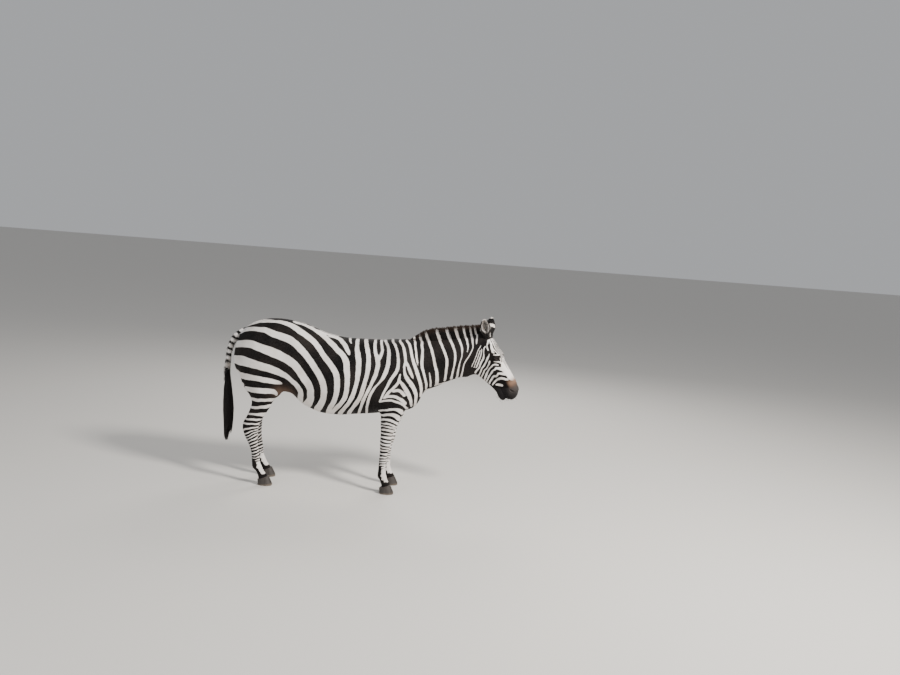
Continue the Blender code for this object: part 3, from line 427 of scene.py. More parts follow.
FACE_WHITES = [
    [(0.089, -0.183, 4), (0.102, -0.204, 5), (0.116, -0.235, 5), (0.136, -0.262, 5),
     (0.15, -0.282, 5), (0.174, -0.309, 5), (0.201, -0.347, 5), (0.228, -0.374, 5),
     (0.259, -0.415, 5), (0.286, -0.452, 5)],
    [(0.147, -0.216, 5), (0.167, -0.238, 6), (0.187, -0.262, 6), (0.211, -0.289, 6),
     (0.235, -0.316, 6), (0.252, -0.343, 6), (0.272, -0.367, 5), (0.296, -0.391, 5),
     (0.32, -0.415, 5)],
    [(0.145, -0.182, 5), (0.167, -0.194, 7), (0.191, -0.211, 7), (0.225, -0.238, 8),
     (0.249, -0.265, 9), (0.276, -0.296, 10), (0.3, -0.326, 9), (0.32, -0.354, 8),
     (0.339, -0.384, 6)],
    [(0.148, -0.115, 7), (0.155, -0.139, 7), (0.184, -0.16, 5), (0.218, -0.177, 5),
     (0.252, -0.194, 7), (0.283, -0.221, 10), (0.3, -0.248, 8), (0.32, -0.279, 8),
     (0.34, -0.309, 8), (0.361, -0.337, 8), (0.374, -0.371, 9), (0.385, -0.405, 10),
     (0.4, -0.439, 9)],
    [(0.259, -0.105, 3), (0.286, -0.129, 5), (0.303, -0.156, 9), (0.317, -0.177, 10),
     (0.337, -0.207, 9), (0.357, -0.241, 8), (0.374, -0.269, 8), (0.386, -0.296, 7),
     (0.391, -0.313, 6), (0.393, -0.317, 6), (0.407, -0.335, 7), (0.424, -0.363, 7),
     (0.442, -0.394, 7), (0.459, -0.428, 7)],
    [(0.356, -0.155, 6), (0.374, -0.175, 9), (0.388, -0.19, 8), (0.402, -0.218, 7),
     (0.415, -0.243, 6), (0.428, -0.267, 6), (0.433, -0.298, 6), (0.455, -0.329, 7),
     (0.473, -0.36, 7), (0.489, -0.391, 7), (0.506, -0.422, 6)],
    [(0.461, -0.084, 5), (0.453, -0.091, 7), (0.436, -0.11, 7), (0.427, -0.131, 7),
     (0.428, -0.153, 7), (0.439, -0.181, 7), (0.445, -0.212, 6), (0.455, -0.243, 7),
     (0.467, -0.267, 7), (0.482, -0.289, 9), (0.504, -0.317, 9), (0.523, -0.344, 9),
     (0.538, -0.366, 8), (0.553, -0.397, 6)],
    [(0.482, -0.125, 9), (0.492, -0.156, 7), (0.492, -0.187, 6), (0.507, -0.224, 9),
     (0.523, -0.261, 7), (0.54, -0.298, 7), (0.563, -0.329, 6), (0.575, -0.351, 6),
     (0.589, -0.381, 5)],
    [(0.564, -0.144, 6), (0.583, -0.175, 7), (0.581, -0.199, 9), (0.569, -0.23, 7),
     (0.575, -0.255, 7), (0.59, -0.28, 7), (0.601, -0.304, 7), (0.615, -0.329, 7),
     (0.634, -0.351, 6), (0.644, -0.369, 5)],
    [(0.705, -0.07, 7), (0.683, -0.098, 9), (0.661, -0.119, 9), (0.644, -0.144, 10),
     (0.637, -0.175, 9), (0.632, -0.218, 7), (0.64, -0.252, 6), (0.652, -0.283, 6),
     (0.665, -0.314, 5)],
    [(0.688, -0.261, 6), (0.702, -0.236, 10), (0.72, -0.212, 10), (0.737, -0.19, 9)],
    [(0.485, -0.128, 8), (0.501, -0.104, 11), (0.526, -0.079, 14), (0.563, -0.054, 15)],
    [(0.569, -0.144, 6), (0.581, -0.119, 9), (0.6, -0.091, 10), (0.615, -0.067, 12)],
    [(0.391, -0.102, 5), (0.407, -0.082, 7), (0.422, -0.06, 8), (0.442, -0.04, 9),
     (0.473, -0.031, 10), (0.513, -0.036, 14)],
    [(0.307, -0.061, 5), (0.319, -0.041, 6), (0.333, -0.02, 7), (0.342, -0.004, 7), (0.347, 0.012, 6)],
    [(0.045, -0.006, 7), (0.064, -0.017, 9), (0.089, -0.036, 10), (0.118, -0.060, 8),
     (0.140, -0.078, 5)],
    [(0.147, -0.085, 5), (0.181, -0.093, 7), (0.21, -0.098, 7)],
    [(0.147, -0.023, 7), (0.194, -0.042, 8), (0.235, -0.052, 9), (0.266, -0.056, 9),
     (0.284, -0.046, 6)],
]


# ---------------------------------------------------------------- skin
def unit(vectors):
    """The vectors scaled to length 1."""
    return vectors / np.maximum(np.linalg.norm(vectors, axis=-1, keepdims=True), 1e-9)


def in_chunks(function, points, size=60000):
    """Values of a function of many points, worked out a part at a time to save memory."""
    parts = [function(points[i:i + size]) for i in range(0, len(points), size)]
    return np.concatenate(parts)


def skin_field(points):
    """Signed distance to the skin, which lies inside the solids by the coat's depth."""
    return in_chunks(body_field, points) + COAT_DEPTH


def sampled_field(low, shape, step, coarse=4):
    """The skin's field on a grid: exact near the surface, read off a coarser grid elsewhere."""
    rough_shape = [n // coarse + 2 for n in shape]
    rough_axes = [low[i] + coarse * step * np.arange(rough_shape[i]) for i in range(3)]
    mesh = np.stack(np.meshgrid(*rough_axes, indexing="ij"), axis=-1).reshape(-1, 3)
    field = skin_field(mesh).reshape(rough_shape)
    for axis in range(3):
        place = np.arange(shape[axis]) / coarse
        cell = place.astype(int)
        part = (place - cell).reshape([-1 if i == axis else 1 for i in range(3)])
        field = (np.take(field, cell, axis=axis) * (1 - part)
                 + np.take(field, cell + 1, axis=axis) * part)
    near = np.argwhere(np.abs(field) < 1.3 * coarse * step)
    field[tuple(near.T)] = skin_field(np.array(low) + step * near)
    return field


def cell_vertices(field):
    """A vertex in each cell that the surface crosses, in steps, and the number of each cell."""
    inside = field < 0
    corners = [(i, j, k) for i in (0, 1) for j in (0, 1) for k in (0, 1)]
    cells = tuple(n - 1 for n in field.shape)
    count = np.zeros(cells, int)
    for i, j, k in corners:
        count += inside[i:i + cells[0], j:j + cells[1], k:k + cells[2]]
    crossed_cells = (count > 0) & (count < 8)
    number = np.full(cells, -1)
    number[crossed_cells] = np.arange(crossed_cells.sum())
    places = np.argwhere(crossed_cells)
    total = np.zeros((len(places), 3))
    crossings = np.zeros(len(places))
    for a, axis in [(a, axis) for a in corners for axis in range(3) if not a[axis]]:
        run = np.eye(3, dtype=int)[axis]
        start = field[tuple((places + a).T)]
        end = field[tuple((places + a + run).T)]
        crossed = (start < 0) != (end < 0)
        part = np.where(crossed, start / np.where(crossed, start - end, 1), 0)
        total += (np.array(a) + part[:, None] * run) * crossed[:, None]
        crossings += crossed
    return places + total / crossings[:, None], number


def cell_quads(field, number):
    """A face across each grid edge that the surface crosses, between the cells round it."""
    quads = []
    for axis in range(3):
        first, second = [i for i in range(3) if i != axis]
        start = np.take(field, range(field.shape[axis] - 1), axis=axis)
        end = np.take(field, range(1, field.shape[axis]), axis=axis)
        edges = np.argwhere((start < 0) != (end < 0))
        whole = (edges[:, first] > 0) & (edges[:, second] > 0)
        whole &= (edges[:, first] < number.shape[first])
        whole &= (edges[:, second] < number.shape[second])
        edges = edges[whole]
        step_a, step_b = np.eye(3, dtype=int)[[first, second]]
        ring = [edges - step_a - step_b, edges - step_b, edges, edges - step_a]
        quad = np.stack([number[tuple(r.T)] for r in ring], axis=1)
        outward = (start[tuple(edges.T)] < 0) ^ (axis == 1)
        quad[~outward] = quad[~outward][:, ::-1]
        quads.append(quad)
    return np.concatenate(quads)


def grid_surface(low, high, step):
    """Vertices and quads of the surface where the skin's field is zero."""
    shape = tuple(int((high[i] - low[i]) / step) + 1 for i in range(3))
    field = sampled_field(low, shape, step)
    vertices, number = cell_vertices(field)
    return np.array(low) + step * vertices, cell_quads(field, number)


def slope_of(field, points, reach=0.0015):
    """Gradient of a field by four samples round each point."""
    corners = np.array([(1, 1, 1), (1, -1, -1), (-1, 1, -1), (-1, -1, 1)], float)
    total = np.zeros_like(points)
    for corner in corners:
        total += corner * in_chunks(field, points + reach * corner)[:, None]
    return total / (4 * reach)


def onto_skin(points, rounds=2):
    """Points moved along the field's slope until they lie on the skin."""
    for step in range(rounds):
        slope = slope_of(skin_field, points)
        height = skin_field(points)
        points = points - slope * (height / np.maximum((slope ** 2).sum(axis=1), 0.05))[:, None]
    return points


def split_faces(work, wanted):
    """Halve the edges of the faces round the vertices that are wanted."""
    places = np.array([vertex.co for vertex in work.verts])
    chosen = wanted(places)
    work.verts.ensure_lookup_table()
    faces = {face for i in np.flatnonzero(chosen) for face in work.verts[i].link_faces}
    edges = {edge for face in faces for edge in face.edges}
    bmesh.ops.subdivide_edges(
        work, edges=sorted(edges, key=lambda e: e.index), cuts=1, use_grid_fill=True)
    work.verts.index_update()
    work.edges.index_update()


def head_local(points):
    """Places in head lengths: along the face from the poll, to the left, out of the face."""
    origin, axes = head_frame()
    return (points - origin) @ axes.T / HEAD_LENGTH


def near_head(places):
    """Whether each place lies in the box round the head."""
    along, left, out = head_local(places).T
    return (along > 0.02) & (along < 1.0) & (np.abs(left) < 0.25) & (out > -0.55)


def near_eyes(places, reach=0.075):
    """Whether each place lies round an eye, within reach in head lengths."""
    along, left, out = head_local(places).T
    away = np.hypot(along - EYE_PLACE[0], out - EYE_PLACE[2])
    return (away < reach) & (np.abs(left) > 0.07)


def near_lids(places):
    """Whether each place lies in the smaller round where the lids are."""
    return near_eyes(places, reach=0.055)


def near_muzzle(places):
    """Whether each place lies in the box round the muzzle."""
    along, left, out = head_local(places).T
    return (along > 0.70) & (along < 1.0) & (np.abs(left) < 0.2) & (out > -0.42)


def smooth_step(low, high, value):
    """Smooth rise from 0 at low to 1 at high; low may be the larger."""
    share = np.clip((value - low) / (high - low), 0, 1)
    return share * share * (3 - 2 * share)


def bump_at(value, centre, width):
    """1 at the centre, falling smoothly to 0 over the width on both sides."""
    return np.exp(-((value - centre) / width) ** 2)


def mixed(a, b, share):
    """Value between a and b at the share of the way."""
    return a + (b - a) * share


EYE_SLIT = (0.0210, 0.0118, 0.0090)    # half length of the lids' opening, reach up, reach down
EYE_SINK = 0.005                       # the eyeball is set this much deeper than the solid
LID_THICKNESS = 0.0022
# Folds of the lids: height, distance outside the opening, width, and which lid has it.
LID_FOLDS = (
    (0.0013, -0.0020, 0.0016, "both"), (-0.0016, -0.0070, 0.0016, "upper"),
    (0.0010, -0.0105, 0.0022, "upper"), (-0.0010, -0.0145, 0.0020, "upper"),
    (-0.0012, -0.0085, 0.0020, "lower"),
)


def eye_opening(right, up):
    """Above zero inside the almond between the lids; right runs to the inner corner."""
    half, above, below = EYE_SLIT
    arch = 1 - np.clip(np.abs(right) / half, 0, 1) ** 1.8
    lift = -0.0016 * np.clip(right / half, -1.3, 1.3)
    opening = np.where(up > lift, above * arch - (up - lift), below * arch + (up - lift))
    return np.minimum(opening, half - np.abs(right))


def eye_axes(side):
    """Toward an eye's inner corner, up it and out of it, and the eyeball's centre."""
    along, left, out = head_frame()[1]
    facing = unit(left * side * 0.93 + out * 0.30 + along * 0.12)
    inner = 0.81 * along + 0.58 * out
    inner = unit(inner - facing * (inner @ facing))
    upward = np.cross(facing, inner)
    upward = upward if upward @ out > 0 else -upward
    centre = head_point(EYE_PLACE[0], side * EYE_PLACE[1], EYE_PLACE[2]) - EYE_SINK * facing
    return inner, upward, facing, centre


def eye_view(points, side):
    """Places seen from outside an eye: toward its inner corner, up, and out of it."""
    inner, upward, facing, centre = eye_axes(side)
    away = points - centre
    return away @ inner, away @ upward, away @ facing


def shape_eyes(points):
    """Lids over each eyeball, with an almond opening in which the skin sinks behind it."""
    lid = EYE_RADIUS + LID_THICKNESS
    turn_over = 0.80 * lid
    for side in (-1, 1):
        right, up, depth = eye_view(points, side)
        across = np.hypot(right, up)
        opening = eye_opening(right, up)
        cap = np.sqrt(lid ** 2 - np.minimum(across, turn_over) ** 2)
        cap = cap - 1.20 * np.maximum(across - turn_over, 0)
        cap = -blend(-depth, -cap, 0.008)
        above = smooth_step(-0.002, 0.004, up)
        lids = {"both": 1, "upper": above, "lower": 1 - above}
        for height, place, width, which in LID_FOLDS:
            cap = cap + height * bump_at(opening, place, width) * lids[which]
        behind = (EYE_RADIUS - LID_THICKNESS) ** 2 - across ** 2
        behind = np.sqrt(np.maximum(behind, 1e-8))
        target = mixed(cap, behind, smooth_step(-0.0006, 0.0008, opening))
        share = smooth_step(0.046, 0.038, across) * (np.abs(depth) < 0.035)
        points = points + (share * (target - depth))[:, None] * eye_axes(side)[2]
    return points


NOSTRIL_PLACE = (0.868, -0.100)        # along the face and out of it, in head lengths


def nostril_shape(along, out):
    """Above zero inside the comma of a nostril, in head lengths."""
    turn = math.radians(35)
    ahead = along - NOSTRIL_PLACE[0]
    up = out - NOSTRIL_PLACE[1]
    a = ahead * math.cos(turn) + up * math.sin(turn)
    b = -ahead * math.sin(turn) + up * math.cos(turn)
    return 1 - np.hypot(a / 0.040, (b - 5.0 * a * a) / 0.0165)


def mouth_line(along):
    """How far out of the face the meeting of the lips lies, in head lengths."""
    return smooth_curve(along, (0.73, 0.78, 0.84, 0.90, 0.95),
                        (-0.238, -0.232, -0.236, -0.226, -0.200))


def shape_muzzle(points, normals):
    """Nostrils, the line between the lips and soft wrinkles beside it."""
    along, left, out = head_local(points).T
    away = nostril_shape(along, out)
    side = smooth_step(0.030, 0.050, np.abs(left)) * (out > -0.17)
    ahead = smooth_step(0.735, 0.775, along)
    below = out - mouth_line(along)
    change = -0.0100 * smooth_step(-0.05, 0.75, away) * side
    change += 0.0018 * bump_at(away, -0.22, 0.22) * side
    change -= 0.0042 * bump_at(below, 0, 0.0060) * ahead
    change += 0.0014 * (bump_at(below, 0.018, 0.012) + bump_at(below, -0.016, 0.011)) * ahead
    return points + normals * change[:, None]


# Corners of a box round the whole body; it cuts the skin off inside the hooves.
BODY_LOW = (-BARREL_HALF - 0.02, -1.55, 0.020)
BODY_HIGH = (BARREL_HALF + 0.02, 0.80, CROUP_HEIGHT + 0.06)


def make_skin():
    """Vertices and faces of the whole skin, in the mid back's frame."""
    vertices, quads = grid_surface(BODY_LOW, BODY_HIGH, SKIN_GRID)
    vertices = onto_skin(vertices, 1)
    mesh = bpy.data.meshes.new("zebra_skin")
    mesh.from_pydata(vertices.tolist(), [], quads.tolist())
    work = bmesh.new()
    work.from_mesh(mesh)
    for wanted in (near_head, near_eyes, near_muzzle, near_lids):
        split_faces(work, wanted)
    places = np.array([vertex.co for vertex in work.verts])
    places = onto_skin(places)
    normals = slope_of(skin_field, places)
    normals /= np.linalg.norm(normals, axis=1)[:, None]
    places = shape_muzzle(places, normals)
    places = shape_eyes(places)
    for vertex, place in zip(work.verts, places):
        vertex.co = place
    bmesh.ops.triangulate(work, faces=[f for f in work.faces if len(f.verts) > 4])
    bmesh.ops.recalc_face_normals(work, faces=work.faces)
    work.to_mesh(mesh)
    work.free()
    mesh.shade_smooth()
    return mesh


# ---------------------------------------------------------------- stripes
PLANE_LOW = (-1.60, 0.50)              # Y and Z of the side plane's corners
PLANE_HIGH = (0.90, 1.46)
FAR_DEPTH = -0.030                     # held where the nearest white band is further off


def face_to_plane(along, out):
    """Place in the side plane of a point on the straightened head, from head lengths."""
    pitch = math.radians(HEAD_PITCH)
    y = POLL[1] - HEAD_LENGTH * (along * math.cos(pitch) + out * math.sin(pitch))
    z = POLL[2] - HEAD_LENGTH * (along * math.sin(pitch) - out * math.cos(pitch))
    return y, z


def fine_line(points, spacing=0.006):
    """Points (place, place, half width) along a smooth curve through the guide points."""
    knots = np.asarray(points, float)
    gaps = np.hypot(*np.diff(knots[:, :2], axis=0).T)
    length = np.concatenate([[0], np.cumsum(gaps)])
    where = np.linspace(0, length[-1], max(int(length[-1] / spacing), 2))
    return np.stack([smooth_curve(where, length, knots[:, i]) for i in range(3)], axis=1)


def stripe_lines():
    """Middle line and half width of every white band, in the side plane."""
    lines = []
    for guide in RUMP_WHITES + BARREL_WHITES + SHOULDER_WHITES + NECK_WHITES:
        lines.append([(y, z, 0.001 * half) for y, z, half in guide])
    for guide in FACE_WHITES:
        widen = [HEAD_LENGTH * (1.35 + 0.40 * smooth_step(0.40, 0.62, row[0])) for row in guide]
        lines.append([(*face_to_plane(along, out), 0.001 * half * wide)
                      for (along, out, half), wide in zip(guide, widen)])
    return [fine_line(line) for line in lines]


def near_line(values, ends, reach):
    """The part of sorted values that lies within reach of the two ends."""
    return slice(*np.searchsorted(values, sorted(ends) + reach * np.array([-1, 1])))


def draw_line(plane, line):
    """Raise the plane's depth round one band's middle line."""
    reach = line[:, 2].max() - FAR_DEPTH
    low = np.floor((line[:, :2].min(axis=0) - reach - PLANE_LOW) / PLANE_GRID).astype(int)
    high = np.ceil((line[:, :2].max(axis=0) + reach - PLANE_LOW) / PLANE_GRID).astype(int)
    low = np.maximum(low, 0)
    high = np.minimum(high, plane.shape)
    y, z = [PLANE_LOW[i] + PLANE_GRID * np.arange(low[i], high[i]) for i in range(2)]
    block = plane[low[0]:high[0], low[1]:high[1]]
    for a, b in zip(line[:-1], line[1:]):
        rows = near_line(y, (a[0], b[0]), reach)
        columns = near_line(z, (a[1], b[1]), reach)
        dy = y[rows, None] - a[0]
        dz = z[None, columns] - a[1]
        run = b[:2] - a[:2]
        share = np.clip((dy * run[0] + dz * run[1]) / (run @ run), 0, 1)
        away = np.hypot(dy - share * run[0], dz - share * run[1])
        depth = mixed(a[2], b[2], share) - away
        block[rows, columns] = np.maximum(block[rows, columns], depth)


def stripe_plane():
    """Signed depth inside the white bands, in metres, on a grid over the side plane."""
    count = [int((PLANE_HIGH[i] - PLANE_LOW[i]) / PLANE_GRID) + 1 for i in range(2)]
    plane = np.full(count, FAR_DEPTH)
    for line in stripe_lines():
        draw_line(plane, line)
    return plane


def read_plane(plane, y, z):
    """The plane's value at each place, between its grid points."""
    a = np.clip((y - PLANE_LOW[0]) / PLANE_GRID, 0, plane.shape[0] - 1.001)
    b = np.clip((z - PLANE_LOW[1]) / PLANE_GRID, 0, plane.shape[1] - 1.001)
    i, j = a.astype(int), b.astype(int)
    near = mixed(plane[i, j], plane[i, j + 1], b - j)
    far = mixed(plane[i + 1, j], plane[i + 1, j + 1], b - j)
    return mixed(near, far, a - i)


def wobble(points, size, seed):
    """Smooth irregular value near -1 to 1 that changes over about the given size."""
    draw = np.random.default_rng(seed)
    total = np.zeros(len(points))
    for wave in range(6):
        way = draw.normal(size=3)
        way *= 2 * math.pi / (size * draw.uniform(0.7, 1.6) * np.linalg.norm(way))
        total += np.sin(points @ way + draw.uniform(0, 6.3))
    return total / 3


def ahead_of_throat(y, z):
    """How far a place is ahead of the plane between neck and head, which leans forward."""
    return -(0.966 * (y + 1.128) + 0.259 * (z - 1.155))


def straightened(points):
    """Points with the head turned straight ahead, about the upright through the poll."""
    x, y, z = points.T
    turn = math.radians(HEAD_YAW) * smooth_step(-0.03, 0.05, ahead_of_throat(y, z))
    dx = x - POLL[0]
    dy = y - POLL[1]
    return np.stack([POLL[0] + dx * np.cos(turn) - dy * np.sin(turn),
                     POLL[1] + dx * np.sin(turn) + dy * np.cos(turn), z], axis=1)


# Heights of the legs' white bands against their number, counted down the leg.
LEG_BANDS = {
    "fore": ((0.16, 20), (0.20, 18), (0.271, 14), (0.352, 11), (0.432, 8), (0.525, 5),
             (0.608, 2), (0.70, 0), (0.74, -1)),
    "hind": ((0.16, 18), (0.196, 16), (0.286, 12), (0.382, 8), (0.458, 5), (0.53, 3),
             (0.572, 2), (0.634, 1), (0.695, 0), (0.77, -1)),
}
LEG_TOPS = {"fore": 0.717, "hind": 0.735}              # where the bands meet the body's
WHITE_SHARES = {"fore": (0.50, 0.10), "hind": (0.40, 0.08)}    # in the middle, and more ahead
# The bands end between two heights; below, white begins so far ahead of the middle, down to
# the dark coronet's edge and middle. Last comes the seed of the edges' wobble.
PASTERNS = {"fore": (0.24, 0.17, -0.15, 0.120, 0.098, 22),
            "hind": (0.22, 0.16, 0.05, 0.115, 0.092, 25)}


def leg_place(points, kind, side):
    """Distance from the leg's surface, way ahead of its middle, and that in half depths."""
    rows = np.array(leg_rows(kind, side))
    away = section_field(points, UP_LEG, rows)
    z = points[:, 2]
    forward = -points[:, 1] - smooth_curve(z, rows[:, 0], rows[:, 2])
    depth = smooth_curve(z, rows[:, 0], (rows[:, 4] + rows[:, 5]) / 2)
    return away, forward, forward / depth


# Height and half width of the white bands across the backs of the thighs.
REAR_BANDS = ((0.998, 0.037), (0.884, 0.024), (0.808, 0.017))


def band_depth(height, bands, white_share):
    """Signed depth inside white bands at the heights, in metres."""
    step = 0.002
    table = np.array(bands)
    number = smooth_curve(height, table[:, 0], table[:, 1])
    above = smooth_curve(height + step, table[:, 0], table[:, 1])
    period = step / np.maximum(np.abs(number - above), 0.02)
    wave = np.cos(2 * math.pi * number) - np.cos(math.pi * white_share)
    return wave * period / (2 * math.pi)


def band_height(points, kind, forward):
    """Height at which each point reads the bands: arched on the forearm, leaning elsewhere."""
    z = points[:, 2]
    if kind == "hind":
        lean = 0.50 * smooth_step(0.50, 0.42, z) * (1 - 0.45 * smooth_step(0.36, 0.22, z))
        lean = lean + 0.18 * bump_at(z, 0.64, 0.04)
        return z - lean * forward + 0.0035 * wobble(points, 0.07, 24)
    past = forward + 0.010 - 0.045 * smooth_step(0.60, 0.735, z)
    drop = 4.5 * np.maximum(past, 0) ** 2 + 2.2 * np.minimum(past, 0) ** 2
    arch = np.minimum(drop, 0.06) * smooth_step(0.42, 0.56, z)
    lean = 0.30 * smooth_step(0.32, 0.20, z) - 0.15 * bump_at(z, 0.40, 0.07)
    return z + arch - lean * forward + 0.0035 * wobble(points, 0.07, 21)


def leg_white(points, kind, forward, share):
    """White of a leg, and the height at which its bands are read."""
    z = points[:, 2]
    height = band_height(points, kind, forward)
    middle, more = WHITE_SHARES[kind]
    white = band_depth(height, LEG_BANDS[kind], middle + more * np.clip(share, -1, 1))
    top, bottom, begin, edge, coronet, seed = PASTERNS[kind]
    pastern = (share - begin) * 0.014 + 0.003 * wobble(points, 0.03, seed)
    pastern = np.minimum(pastern, white + 0.0020 + 0.006 * smooth_step(0.20, 0.12, z))
    white = mixed(white, pastern, smooth_step(top, bottom, z))
    ring = (z - coronet) * 0.5 + 0.002 * wobble(points, 0.02, seed + 1)
    return np.where(z < edge, np.minimum(white, ring), white), height


# The forehead's white lines: distance from the middle at their top, where they are widest
# and at their low end, and half width, all in head lengths.
FOREHEAD_LINES = ((0.014, 0.020, 0.006, 0.0065), (0.026, 0.058, 0.036, 0.0075),
                  (0.038, 0.098, 0.066, 0.0085), (0.060, 0.138, 0.100, 0.0090))
NOSE_LINES = (0.019, 0.047)            # the same for the fine dark lines down the nose
NO_WHITE = -0.02                       # depth in the white of a place far from it


def face_front_white(along, side):
    """White fan on the forehead and the pale band down the nose, in metres of depth."""
    fan = np.full(len(along), NO_WHITE)
    for top, widest, low, half in FOREHEAD_LINES:
        path = smooth_curve(along, (0.05, 0.14, 0.26, 0.36, 0.46),
                            (top, 0.7 * widest + 0.3 * top, widest, 0.93 * widest, low))
        grown = smooth_step(0.05, 0.10, along) * smooth_step(0.47, 0.42, along)
        reach = (half + 0.010) * grown - 0.010
        fan = np.maximum(fan, (reach - np.abs(side - path)) * HEAD_LENGTH)
    edge = smooth_curve(along, (0.38, 0.43, 0.48, 0.56, 0.67, 0.74, 0.81),
                        (0.0, 0.060, 0.104, 0.110, 0.090, 0.070, -0.02))
    spread = 1 - 0.30 * smooth_step(0.46, 0.74, along)
    lines = np.minimum.reduce([np.abs(side - spread * place) for place in NOSE_LINES])
    thick = smooth_curve(along, (0.44, 0.50, 0.58, 0.66), (0.0042, 0.0032, 0.0016, -0.0040))
    band = np.minimum((edge - side) * HEAD_LENGTH, lines * HEAD_LENGTH - thick)
    return np.maximum(fan, np.where(along > 0.40, band, NO_WHITE))


def thigh_bands(points, y, z):
    """Level bands across the backs of the thighs, and how far they take over."""
    aside = np.abs(points[:, 0])
    begin = 0.600 + 0.062 * smooth_step(0.105, 0.150, aside)
    share = smooth_step(0.178, 0.165, aside) * smooth_step(begin, begin + 0.025, y)
    level = z + 0.06 * aside + 0.003 * wobble(points, 0.06, 17)
    bands = np.maximum.reduce([half - np.abs(level - middle) for middle, half in REAR_BANDS])
    return bands, share * smooth_step(1.02, 0.97, z)


def chest_chevrons(points):
    """Chevrons across the front of the chest, and how far they take over."""
    aside = np.abs(points[:, 0])
    share = smooth_step(-0.625, -0.675, points[:, 1]) * smooth_step(0.080, 0.035, aside)
    rise = points[:, 2] + 0.55 * aside + 0.003 * wobble(points, 0.06, 15)
    chevrons = (np.cos(2 * math.pi * rise / 0.062) - 0.05) * 0.010
    return chevrons, share * smooth_step(0.98, 0.90, points[:, 2])


def middle_lines(points, white):
    """White with dark lines in it down the back and under the belly."""
    x, y, z = np.abs(points[:, 0]), points[:, 1], points[:, 2]
    white = np.where((z > 1.15) & (y > -0.60), np.minimum(white, x - 0.011), white)
    belly = (z < 0.72) & (y > -0.42) & (y < 0.34)
    return np.where(belly, np.minimum(white, x - 0.013), white)


def leg_marks(points, white):
    """White with the legs' bands in it, and how much each point is leg."""
    white = white.copy()
    legs = np.zeros(len(points))
    for side in (-1, 1):
        own = (points[:, 0] * side > 0) & (points[:, 2] < 0.80)
        for kind, top in LEG_TOPS.items():
            near = own & (points[:, 1] < 0 if kind == "fore" else points[:, 1] > 0)
            part = points[near]
            away, forward, share = leg_place(part, kind, side)
            bands, height = leg_white(part, kind, forward, share)
            weight = smooth_step(0.040, 0.015, away) * smooth_step(top + 0.010, top - 0.010, height)
            white[near] = mixed(white[near], bands, weight)
            legs[near] = weight
    return white, legs


def face_marks(points, white):
    """White with the face's marks in it, and how much each point is muzzle, brown and nose; nose is
    painted light on the muzzle's upper front.
    """
    along, left, out = head_local(points).T
    side = np.abs(left)
    on_head = (along > 0.04) & (along < 1.05) & (out > -0.45) & (side < 0.25)
    front = smooth_step(0.152, 0.138, side) * smooth_step(-0.078, -0.058, out) * on_head
    front = front * smooth_step(0.84, 0.80, along)
    aside_white = white - 0.03 * smooth_step(0.100, 0.072, side)
    white = mixed(white, np.maximum(face_front_white(along, side), aside_white), front)
    from_eye = np.hypot((along - EYE_PLACE[0]) / 0.030, (out - EYE_PLACE[2] - 0.008) / 0.050)
    around_eye = smooth_step(1.25, 0.80, from_eye) * on_head * (side > 0.06)
    white = mixed(white, -0.006, around_eye)
    start = smooth_curve(out, (-0.36, -0.30, -0.22, -0.12, -0.05, 0.02),
                         (0.70, 0.72, 0.765, 0.80, 0.79, 0.775))
    past = along + 0.008 * wobble(points, 0.05, 16) - start
    muzzle = smooth_step(-0.012, 0.018, past) * on_head
    brown = bump_at(along, 0.765, 0.050) * smooth_step(-0.13, -0.07, out) * on_head
    # nose: the muzzle's upper front, where painted light turns the dark skin grey.
    nose = bump_at(along, 0.86, 0.06) * smooth_step(-0.20, -0.12, out) * on_head
    return mixed(white, -0.010, muzzle), muzzle, brown, nose


def markings(points, plane):
    """Depth in the white in millimetres, and how much a point is muzzle, brown, nose or leg. Brown also
    holds painted shade in the flank fold.
    """
    flat = straightened(points)
    left_side = 0.006 * smooth_step(0.0, 0.06, points[:, 0])
    y = flat[:, 1] + 0.0012 * wobble(points, 0.05, 11) + left_side * wobble(points, 0.30, 12)
    z = flat[:, 2] + 0.0012 * wobble(points, 0.05, 13) + left_side * wobble(points, 0.30, 14)
    white = read_plane(plane, y, z)
    white = mixed(white, *thigh_bands(points, y, z))
    white = mixed(white, *chest_chevrons(points))
    white, legs = leg_marks(points, middle_lines(points, white))
    white, muzzle, brown, nose = face_marks(points, white)
    # Brown tint in the flank fold: painted shade of the fold, partly the brownish thin hair there.
    flank = bump_at(points[:, 1], 0.36, 0.07) * bump_at(points[:, 2], 0.765, 0.05)
    return {"white": white * 1000, "muzzle": muzzle, "brown": brown + 0.55 * flank,
            "nose": nose, "leg": legs}


def plain_marks(white, leg=0, brown=0):
    """The same attributes for a piece that has only white and dark."""
    none = 0 * white
    return {"white": white * 1000, "muzzle": none, "brown": none + brown, "nose": none,
            "leg": none + leg}


def store(mesh, values):
    """Keep each array of values on the mesh's vertices under its name."""
    for name, value in values.items():
        layer = mesh.attributes.new(name, "FLOAT", "POINT")
        layer.data.foreach_set("value", np.asarray(value, np.float32))


# ---------------------------------------------------------------- materials
def add_node(tree, kind, links=None, **settings):
    """A node with settings on it, its inputs set to values or linked to sockets."""
    made = tree.nodes.new(kind)
    for key, value in settings.items():
        setattr(made, key, value)
    for key, value in (links or {}).items():
        socket = made.inputs[key]
        if isinstance(value, bpy.types.NodeSocket):
            tree.links.new(value, socket)
        else:
            socket.default_value = value
    return made


def math_node(tree, operation, a, b=0.0):
    """Socket with a and b worked together by a math node."""
    return add_node(tree, "ShaderNodeMath", {0: a, 1: b}, operation=operation).outputs[0]


def mix_node(tree, share, a, b):
    """Colour between a and b."""
    a = (*a, 1) if isinstance(a, tuple) else a
    b = (*b, 1) if isinstance(b, tuple) else b
    made = add_node(tree, "ShaderNodeMix", {0: share, 6: a, 7: b}, data_type="RGBA")
    return made.outputs[2]


